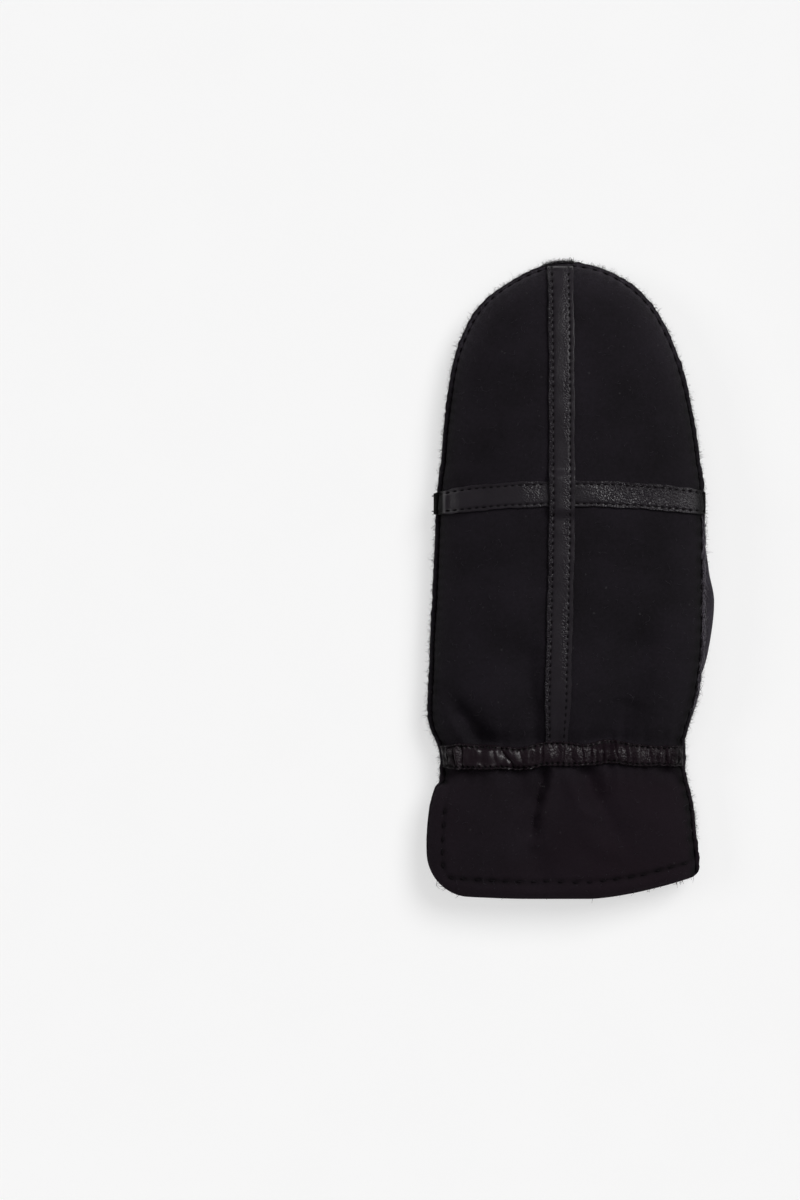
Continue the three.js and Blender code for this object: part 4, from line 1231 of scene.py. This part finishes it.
def hem_stitches(height, facing):
    half = HEM_STITCH / 2 * hem_ways
    ends = []
    for middle in (hem_middles - half, hem_middles + half):
        x, y = middle[:, 0], middle[:, 1]
        ends.append(placed(x, y, height(x, y) + facing * 0.1))
    return ends[0], ends[1], np.tile([0.0, 0.0, float(facing)], (len(hem_middles), 1))


hem_rows = [hem_stitches(back_height, 1), hem_stitches(palm_height, -1)]
hem_thread = stitch_mesh("hem_stitches", *stacked(hem_rows), radius=0.4, rise=0.2, sink=0.5)
print("hem stitches:", sum(len(row[0]) for row in hem_rows))

# %% [markdown]
# ## Wool that shows
# The hide is worn wool side in, so its dark fibres peep out wherever an edge was cut: between the two lips of
# the seam, at the hem and thickest where the middle strap ends. Each fibre is a thin bent tube of three
# sides. Thousands of them stay light when they are one mesh, and they keep their shape in any export.

# %% Fibres as one mesh
FIBER_SIDES = 3
FIBER_STEPS = 5
SEAM_FIBERS = 5200
TIP_FIBERS = 1500
LINT_FIBERS = 760
STREAK_FIBERS = 260
PILE_FIBERS = 2900
PILE_DEEP = 46.0


def fiber_mesh(name, roots, directions, lengths, radius, curl, seed):
    """Bent tubes from their roots, thinner towards their ends. curl is how far they bend for their length."""
    rng = np.random.default_rng(seed)
    directions = unit(directions)
    aside = unit(np.cross(directions, rng.normal(size=directions.shape)))
    across = np.cross(directions, aside)
    t = np.linspace(0, 1, FIBER_STEPS)[None, :, None]
    turns = rng.uniform(0.6, 1.6, (len(roots), 1, 1)) * math.pi
    size = (lengths * curl)[:, None, None] / 2
    path = roots[:, None] + directions[:, None] * (lengths[:, None, None] * t)
    path = path + size * t * (np.sin(turns * t) * aside[:, None] + (1 - np.cos(turns * t)) * across[:, None])
    return tubes_mesh(name, round_path(path, radius * (1 - 0.7 * t), aside, across, FIBER_SIDES), sharp=180)


rng = np.random.default_rng(27)
print("fibre:", FIBER_SIDES, "sides,", FIBER_STEPS - 1, "lengths")

# %% Fuzz along the cut edges
def edge_roots(count, low, high, between):
    """Roots along the edge, from run low to high. between places them between the lips, 0 to 1."""
    run = rng.uniform(low, high, count)
    at = np.interp(run, edge_run, np.arange(edge_run.size))
    i = np.clip(at.astype(int), 0, edge_run.size - 2)
    part = at - i
    x = edge_x[i] * (1 - part) + edge_x[i + 1] * part
    y = edge_y[i] * (1 - part) + edge_y[i + 1] * part
    along = unit(placed(edge_x[i + 1] - edge_x[i], edge_y[i + 1] - edge_y[i], 0.0))
    out = placed(-along[:, 1], along[:, 0], 0.0)
    top, bottom = lip_top(x, y), lip_bottom(x, y)
    z = bottom + (top - bottom) * between(rng.uniform(0, 1, count))
    return placed(x, y, z) - out * 0.5, out, along


SEAM_END = 12.0  # how far before the cuff's edge the wool in the seam ends, on the thumb's side
TUFT_HALF = 6.5
seam_end = edge_run[-1] - SEAM_END
seam_roots, seam_out, seam_along = edge_roots(SEAM_FIBERS, vent_run, seam_end, lambda r: 0.2 + 0.6 * r)
seam_way = seam_out + rng.normal(0, 0.75, (SEAM_FIBERS, 1)) * seam_along
seam_way[:, 2] += rng.normal(0, 0.35, SEAM_FIBERS)
seam_long = rng.gamma(5.0, 0.28, SEAM_FIBERS)
seam_fuzz = fiber_mesh("seam_wool", seam_roots, seam_way, seam_long, radius=0.06, curl=0.7, seed=31)
tuft_middle = float(np.interp(-CENTER_STRAP_SIDE, edge_x[round_the_end], edge_run[round_the_end]))
tuft = (tuft_middle - TUFT_HALF, tuft_middle + TUFT_HALF)
tip_roots, tip_out, tip_along = edge_roots(TIP_FIBERS, *tuft, lambda r: 0.3 + 0.8 * r)
tip_way = tip_out + rng.normal(0, 0.6, (TIP_FIBERS, 1)) * tip_along
tip_way[:, 2] += rng.normal(0.15, 0.4, TIP_FIBERS)
tip_long = rng.gamma(6.0, 0.2, TIP_FIBERS)
tip_fuzz = fiber_mesh("tip_wool", tip_roots, tip_way, tip_long, radius=0.06, curl=0.9, seed=32)
print("seam fibres:", len(seam_roots) + len(tip_roots))

# %% Lint on the back
def lint(count):
    """Short pale fibres that lie on the nap, found by dropping them on the surface formula."""
    x = rng.uniform(-0.96, 0.96, count * 2) * HAND_WIDTH / 2
    y = rng.uniform(-CUFF_LENGTH + 3, HAND_LENGTH - 6, count * 2)
    on_suede = (reach_of(x, y, LIP) < 0.96) & (np.abs(y) > BAND_WIDTH)
    on_suede &= np.abs(x + CENTER_STRAP_SIDE) > STRAP_WIDTH * 0.7
    on_suede &= np.abs(y - CROSS_STRAP_RISE) > STRAP_WIDTH
    x, y = x[on_suede][:count], y[on_suede][:count]
    turn = rng.uniform(0, 2 * math.pi, x.size)
    step_x, step_y = np.cos(turn), np.sin(turn)
    ahead = back_height(x + 0.5 * step_x, y + 0.5 * step_y) - back_height(x, y)
    return placed(x, y, back_height(x, y) + 0.08), placed(step_x, step_y, 2 * ahead)


lint_roots, lint_ways = lint(LINT_FIBERS)
streaks_from, streaks_to = np.interp([-98.0, -18.0], -edge_y[down_the_side], edge_run[down_the_side])
streak_roots, streak_out, streak_along = edge_roots(
    STREAK_FIBERS, streaks_from, streaks_to, lambda r: 0.88 + 0.12 * r)
streak_roots -= streak_out * rng.uniform(-0.5, 0.9, (STREAK_FIBERS, 1))
streak_ways = streak_along * rng.choice([-1.0, 1.0], (STREAK_FIBERS, 1))
streak_ways += 0.08 * streak_out * rng.normal(0, 1, (STREAK_FIBERS, 1))
lint_long = rng.gamma(4.0, 0.4, len(lint_roots))
lint_piece = fiber_mesh("lint", lint_roots, lint_ways, lint_long, radius=0.1, curl=1.1, seed=34)
streak_long = rng.gamma(6.0, 0.55, STREAK_FIBERS)
streaks = fiber_mesh("edge_lint", streak_roots, streak_ways, streak_long, radius=0.11, curl=0.25, seed=35)
print("lint:", len(lint_roots), "on the back,", len(streak_roots), "along the edge")

# %% Pile inside the cuff
def lining_roots(count, height_of, facing):
    """Roots over the inner face near the mouth, thicker towards it."""
    into = 3.0 + PILE_DEEP * rng.uniform(0, 1, count) ** 1.4
    side = rng.choice([-1.0, 1.0], count)
    share = rng.uniform(0, 1, count) ** 0.8
    y = -CUFF_LENGTH + into
    x = side * share * 0.97 * (half_width(side, y) - LIP - WALL)
    y = y + (hem_line(x) + CUFF_LENGTH) * (1 - into / CUFF_LENGTH) ** 2.5
    z = height_of(x, y)
    way = placed(rng.normal(0, 0.5, count), -0.1 + rng.normal(0, 0.35, count), facing)
    return placed(x, y + 0.4, z - 0.3 * facing), way


low = lining_roots(PILE_FIBERS, palm_inside, 1.0)
high = lining_roots(PILE_FIBERS, back_inside, -1.0)
pile_roots, pile_ways = stacked([low, high])
pile_long = rng.uniform(2.4, 4.6, len(pile_roots))
pile = fiber_mesh("cuff_wool", pile_roots, pile_ways, pile_long, radius=0.2, curl=1.1, seed=33)
print("pile fibres:", len(pile_roots))

# %% [markdown]
# ## Finishes
# Colours are written as sRGB hex, as read off a calibrated screen, and one function makes them linear, which
# is what the shader needs. One more function adds a node with its settings and links. Where an input is
# given a whole node, it takes that node's first output, such as a noise's strength. Each pattern's scale
# comes from a real size: an object texture coordinate is in metres, so 1 / size is the noise's scale.

# %% Colour and node helpers
def linear(hex_value):
    channels = [int(hex_value[i:i + 2], 16) / 255 for i in (0, 2, 4)]
    return tuple(c / 12.92 if c <= 0.04045 else ((c + 0.055) / 1.055) ** 2.4 for c in channels) + (1.0,)


def add_node(tree, kind, inputs=None, **settings):
    """Adds a shader node with its settings. An input takes a value, an output, or a node's first output."""
    node = tree.nodes.new("ShaderNode" + kind)
    for name, value in settings.items():
        setattr(node, name, value)
    for name, value in (inputs or {}).items():
        if isinstance(value, bpy.types.Node):
            value = next(output for output in value.outputs if output.enabled)
        if isinstance(value, bpy.types.NodeSocket):
            tree.links.new(value, node.inputs[name])
        else:
            node.inputs[name].default_value = value
    return node


def per(size_mm):
    """The scale at which a noise or a cell is size_mm across."""
    return 1.0 / (size_mm * MM)


def new_material(name):
    material = bpy.data.materials.new(name)
    material.use_nodes = True
    material.node_tree.nodes.clear()
    return material, material.node_tree


print("a millimetre grain has scale", round(per(1.0)))

# %% [markdown]
# ** Napped suede.** The flesh side of sheepskin, buffed until its fibres stand up, then dyed through. It takes
# light without any gloss, looks darker and lighter in cloudy patches where the nap lies this way or that, and
# shows a faint grey rim where it turns away, because the fibre ends catch the light there. The thumb's suede
# is a paler copy of the same skin: painted light, for the key lamp's light on that side.

# %% Napped suede
def napped_suede(name, dark, light, rim):
    material, tree = new_material(name)
    place = add_node(tree, "TexCoord").outputs["Object"]
    clouds = add_node(tree, "TexNoise", {"Vector": place, "Scale": per(26.0), "Detail": 2.0})
    tufts = add_node(tree, "TexNoise", {"Vector": place, "Scale": per(1.6), "Detail": 4.0, "Roughness": 0.7})
    fine = add_node(tree, "TexNoise", {"Vector": place, "Scale": per(0.7), "Detail": 2.0})
    both = add_node(tree, "Mix", {"Factor": 0.45, "A": clouds, "B": tufts})
    spread = add_node(tree, "MapRange", {"Value": both, "From Min": 0.36, "From Max": 0.64})
    tone = add_node(tree, "Mix", {
        "Factor": spread, "A": linear(dark), "B": linear(light)}, data_type="RGBA")
    # The cuff was cut from another part of the skin, which took the dye a little warmer.
    height_up = add_node(tree, "SeparateXYZ", {"Vector": place}).outputs["Y"]
    wrist = WRIST_Y * MM
    patches = add_node(tree, "TexNoise", {"Vector": place, "Scale": per(48.0), "Detail": 1.0})
    patchy = add_node(tree, "MapRange", {
        "Value": patches, "From Min": 0.35, "From Max": 0.65, "To Min": 0.35, "To Max": 0.75})
    warmth = add_node(tree, "MapRange", {
        "Value": height_up, "From Min": wrist - 0.012, "From Max": wrist + 0.002,
        "To Min": patchy, "To Max": 0.0})
    tone = add_node(tree, "Mix", {"Factor": warmth, "A": tone, "B": linear("1c1219")}, data_type="RGBA")
    # Tufts that stand up: cells of seven millimetres, each with one pale ragged fleck of a millimetre in it.
    ragged = add_node(tree, "Mix", {
        "Factor": 0.0016, "A": place, "B": fine.outputs["Color"]}, data_type="VECTOR")
    cells = add_node(tree, "TexVoronoi", {"Vector": ragged, "Scale": per(7.0), "Randomness": 1.0})
    grain = add_node(tree, "MapRange", {
        "Value": cells, "From Min": 0.03, "From Max": 0.08, "To Min": 0.2, "To Max": 0.0})
    dusted_lit_and_shaded = add_node(tree, "Mix", {"Factor": grain, "A": tone, "B": linear("5c5a5c")}, data_type="RGBA")
    # Painted light: the lip on the thumb's side and the nap round the tip are painted paler, in ragged
    # patches, where they face the light.
    painted_light = add_node(tree, "Attribute", attribute_name="painted_light").outputs["Fac"]
    patchy_light = add_node(tree, "MapRange", {
        "Value": fine, "From Min": 0.4, "From Max": 0.6, "To Min": 0.25, "To Max": 1.0})
    paler = add_node(tree, "Math", {0: painted_light, 1: patchy_light}, operation="MULTIPLY")
    dusted_lit_and_shaded = add_node(tree, "Mix", {"Factor": paler, "A": dusted_lit_and_shaded, "B": linear("4c474f")}, data_type="RGBA")
    # Painted shade: along the seam's stitches and in the hem's crease and stitch hollows, the colour is
    # darkened towards black.
    pinch_and_shade = add_node(tree, "Attribute", attribute_name="painted_seam_shade").outputs["Fac"]
    dusted_lit_and_shaded = add_node(tree, "Mix", {
        "Factor": pinch_and_shade, "A": dusted_lit_and_shaded, "B": linear("040304")}, data_type="RGBA")
    raised = add_node(tree, "Mix", {"Factor": 0.45, "A": tufts, "B": fine})
    bump = add_node(tree, "Bump", {"Height": raised, "Strength": 0.8, "Distance": 0.0005})
    shader = add_node(tree, "BsdfPrincipled", {
        "Base Color": dusted_lit_and_shaded, "Roughness": 0.95, "Specular IOR Level": 0.15,
        "Sheen Weight": 0.06, "Sheen Roughness": 0.5, "Sheen Tint": linear(rim),
        "Normal": bump})
    add_node(tree, "OutputMaterial", {"Surface": shader})
    return material


suede = napped_suede("napped_suede", "151216", "1f1b21", "8a8290")
# Painted light: the thumb's copy of the suede is paler, for the key lamp's light on the thumb's side.
lit_thumb_suede = napped_suede("thumb_suede_painted_lit", "242127", "3c383f", "a8a0b0")
print("made", suede.name, "and", lit_thumb_suede.name)

# %% [markdown]
# **Smooth leather.** The grain side of the hide, dyed black and finished with a thin wax. Its pores and
# wrinkles break the shine into small glints, so it needs a grain with real depth and a middling roughness.
# The middle strap is handled most and has lost most of its wax, so it shines least.

# %% Smooth-grained leather
def grained_leather(name, dark, light, shine, wrinkled, specular=0.3):
    material, tree = new_material(name)
    place = add_node(tree, "TexCoord").outputs["Object"]
    ends_holes_painted_shade = add_node(tree, "Attribute", attribute_name="ends_holes_painted_shade").outputs["Fac"]
    flexed = add_node(tree, "Attribute", attribute_name="flexed").outputs["Fac"]
    warp = add_node(tree, "TexNoise", {"Vector": place, "Scale": per(2.0), "Detail": 2.0})
    bent = add_node(tree, "Mix", {
        "Factor": 0.0012, "A": place, "B": warp.outputs["Color"]}, data_type="VECTOR")
    # Real grain is 0.3 mm and finer. It is drawn at 0.8 mm, so that single glints show in the render.
    pebbles = add_node(tree, "TexVoronoi", {"Vector": bent, "Scale": per(0.8)})
    creases = add_node(tree, "TexNoise", {
        "Vector": place, "Scale": per(1.6), "Detail": 2.0, "Roughness": 0.6, "Distortion": 0.8})
    height = add_node(tree, "Mix", {"Factor": wrinkled, "A": pebbles, "B": creases})
    relief = add_node(tree, "MapRange", {"Value": flexed, "To Min": 0.1, "To Max": 1.0})
    bump = add_node(tree, "Bump", {"Height": height, "Strength": relief, "Distance": 0.0012}, invert=True)
    wear_and_painted_light = add_node(tree, "TexNoise", {"Vector": place, "Scale": per(7.0), "Detail": 3.0})
    tone = add_node(tree, "Mix", {"Factor": wear_and_painted_light, "A": linear(dark), "B": linear(light)}, data_type="RGBA")
    # Painted shade: at the ends and in the stitch holes, as the mask says, the colour goes towards black and
    # the gloss is dulled.
    shaded_tone = add_node(tree, "Mix", {"Factor": ends_holes_painted_shade, "A": tone, "B": linear("070607")}, data_type="RGBA")
    gloss = add_node(tree, "MapRange", {
        "Value": wear_and_painted_light, "From Min": 0.3, "From Max": 0.7, "To Min": shine, "To Max": shine + 0.1})
    dulled = add_node(tree, "Mix", {"Factor": ends_holes_painted_shade, "A": gloss, "B": 1.0})
    shader = add_node(tree, "BsdfPrincipled", {
        "Base Color": shaded_tone, "Roughness": dulled, "IOR": 1.5,
        "Specular IOR Level": specular, "Normal": bump})
    add_node(tree, "OutputMaterial", {"Surface": shader})
    return material


strap_leather = grained_leather("smooth_strap_leather", "242125", "2d292e", 0.28, 0.5)
middle_leather = grained_leather("handled_strap_leather", "252226", "2e2a2f", 0.28, 0.5, specular=0.18)
band_leather = grained_leather("gathered_band_leather", "1b1318", "251c22", 0.33, 0.6)
print("made", strap_leather.name + ",", middle_leather.name, "and", band_leather.name)

# %% [markdown]
# ** Waxed thread** and **dyed wool.** The thread is matt with a little wax on it. The wool is a soft dark
# brown-black that never turns fully black, because light passes between its fibres. The lint on the nap is
# paler, and the broken fibre ends along the edge on the thumb's side are palest of all.

# %% Thread and wool
def fibrous(name, dark, light, roughness, size_mm, sheen):
    material, tree = new_material(name)
    place = add_node(tree, "TexCoord").outputs["Object"]
    strands = add_node(tree, "TexNoise", {"Vector": place, "Scale": per(size_mm), "Detail": 3.0})
    tone = add_node(tree, "Mix", {
        "Factor": strands, "A": linear(dark), "B": linear(light)}, data_type="RGBA")
    bump = add_node(tree, "Bump", {"Height": strands, "Strength": 0.6, "Distance": 0.0003})
    shader = add_node(tree, "BsdfPrincipled", {
        "Base Color": tone, "Roughness": roughness, "Specular IOR Level": 0.15,
        "Sheen Weight": sheen, "Sheen Roughness": 0.4, "Normal": bump})
    add_node(tree, "OutputMaterial", {"Surface": shader})
    return material


waxed_thread = fibrous("waxed_thread", "080508", "110c11", 0.85, 0.5, 0.0)
dyed_wool = fibrous("dyed_wool", "141114", "2a2528", 0.9, 1.5, 0.2)
pale_lint = fibrous("pale_lint", "2c292e", "454248", 0.8, 3.0, 0.0)
worn_fiber = fibrous("worn_fiber", "56525a", "8c888f", 0.85, 2.0, 0.0)
print("made", waxed_thread.name, dyed_wool.name, pale_lint.name, "and", worn_fiber.name)

# %% Dressing the pieces
def dress(piece, material, slot, *nodes):
    piece.data.materials.clear()
    piece.data.materials.append(material)
    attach(piece, "root")
    if nodes:
        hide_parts(*nodes)


dress(back, suede, "suede", "back_panel")
dress(palm, suede, "suede", "palm_panel")
dress(thumb, lit_thumb_suede, "suede", "thumb")
dress(center, middle_leather, "smooth_leather", "center_strap")
dress(cross, strap_leather, "smooth_leather", "cross_strap")
dress(band_back, band_leather, "smooth_leather", "wrist_band_back")
dress(band_palm, band_leather, "smooth_leather", "wrist_band_palm")
for thread in (strap_thread, band_thread):
    dress(thread, waxed_thread, "smooth_leather")
for thread in (seam_thread, hem_thread):
    dress(thread, waxed_thread, "suede")
for wool in (seam_fuzz, tip_fuzz, pile):
    dress(wool, dyed_wool, "suede")
dress(lint_piece, pale_lint, "suede")
dress(streaks, worn_fiber, "suede")
print("dressed 16 pieces")

# %% [markdown]
# ## The light, the floor and the camera
# The mitten lies on a pale lit table, of the kind that product photographers use to keep shadows faint, and
# is seen from straight above. The room is brighter towards its sides than overhead. A broad key lamp from
# the upper right gives the faint shadow, a still broader one fills from the ceiling, and a narrower one from
# the left picks out the left edges. A window lamp is seen only in the leather's gloss, as small glints. A
# long lens far away keeps the sides from spreading.

# %% The floor and the lights
FLOOR_HALF, FLOOR_TOP = 12.0, -0.0002  # in metres, just below the mitten
floor_corners = [
    (x * FLOOR_HALF, y * FLOOR_HALF, FLOOR_TOP) for x, y in ((-1, -1), (1, -1), (1, 1), (-1, 1))
]
floor_mesh = bpy.data.meshes.new("pale_floor")
floor_mesh.from_pydata(floor_corners, [], [(0, 1, 2, 3)])
floor = bpy.data.objects.new("pale_floor", floor_mesh)
bpy.context.scene.collection.objects.link(floor)
paper, tree = new_material("white_paper")
paper_grain = add_node(tree, "TexNoise", {
    "Vector": add_node(tree, "TexCoord").outputs["Object"], "Scale": per(40.0)})
paper_tone = add_node(tree, "Mix", {
    "Factor": paper_grain, "A": linear("b4b4b4"), "B": linear("b8b8b8")}, data_type="RGBA")
paper_shader = add_node(tree, "BsdfPrincipled", {
    "Base Color": paper_tone, "Roughness": 0.9, "Specular IOR Level": 0.0,
    "Emission Color": (1.0, 1.0, 1.0, 1.0), "Emission Strength": 0.585})
add_node(tree, "OutputMaterial", {"Surface": paper_shader})
floor.data.materials.append(paper)

world = bpy.data.worlds.new("soft_room")
world.use_nodes = True
room = world.node_tree
background = room.nodes["Background"]
view_way = add_node(room, "TexCoord").outputs["Generated"]
toward = add_node(room, "SeparateXYZ", {"Vector": view_way})
walls = add_node(room, "MapRange", {
    "Value": toward.outputs["Z"], "From Min": 0.55, "From Max": 0.95, "To Min": 0.62, "To Max": 0.16})
room.links.new(walls.outputs["Result"], background.inputs["Strength"])
bpy.context.scene.world = world


def sun(name, strength, toward, degrees, shows_in_gloss=True):
    data = bpy.data.lights.new(name, "SUN")
    data.energy = strength
    data.angle = math.radians(degrees)
    lamp = bpy.data.objects.new(name, data)
    lamp.rotation_mode = "QUATERNION"
    lamp.rotation_quaternion = Vector(toward).to_track_quat("Z", "Y")
    lamp.visible_glossy = shows_in_gloss
    bpy.context.scene.collection.objects.link(lamp)
    return lamp


key = sun("key_lamp", 1.5, (0.52, 0.55, 1.0), 30, shows_in_gloss=False)
window = sun("window_glint", 2.2, (0.75, 0.6, 1.0), 28)
window.visible_diffuse = False
fill = sun("ceiling_fill", 0.8, (0.1, 0.2, 1.0), 70, shows_in_gloss=False)
edge = sun("edge_lamp", 0.42, (-1.0, 0.1, 0.75), 22, shows_in_gloss=False)
print("lights: the room,", key.name, window.name, fill.name, edge.name)

# %% The camera
MM_PER_PIXEL = 0.425
LEVEL = 15.0
LENS = 100.0
SENSOR = 36.0
PICTURE = (800, 1200)
WRIST_IN_PICTURE = (567.5, 756)  # the wrist on the middle line, in pixels from the upper left corner
view_x = (PICTURE[0] / 2 - WRIST_IN_PICTURE[0]) * MM_PER_PIXEL + MIDDLE_X
view_y = (WRIST_IN_PICTURE[1] - PICTURE[1] / 2) * MM_PER_PIXEL + WRIST_Y
distance = PICTURE[1] * MM_PER_PIXEL * LENS / SENSOR
camera_data = bpy.data.cameras.new("camera")
camera_data.sensor_fit = "VERTICAL"
camera_data.sensor_height = SENSOR
camera_data.sensor_width = SENSOR
camera_data.lens = LENS
camera_data.clip_end = 20.0
camera = bpy.data.objects.new("camera", camera_data)
camera.location = (view_x * MM, view_y * MM, (LEVEL + distance) * MM)
bpy.context.scene.collection.objects.link(camera)
bpy.context.scene.camera = camera
bpy.context.scene.view_settings.view_transform = "Standard"
print("camera at", [round(v, 3) for v in camera.location])
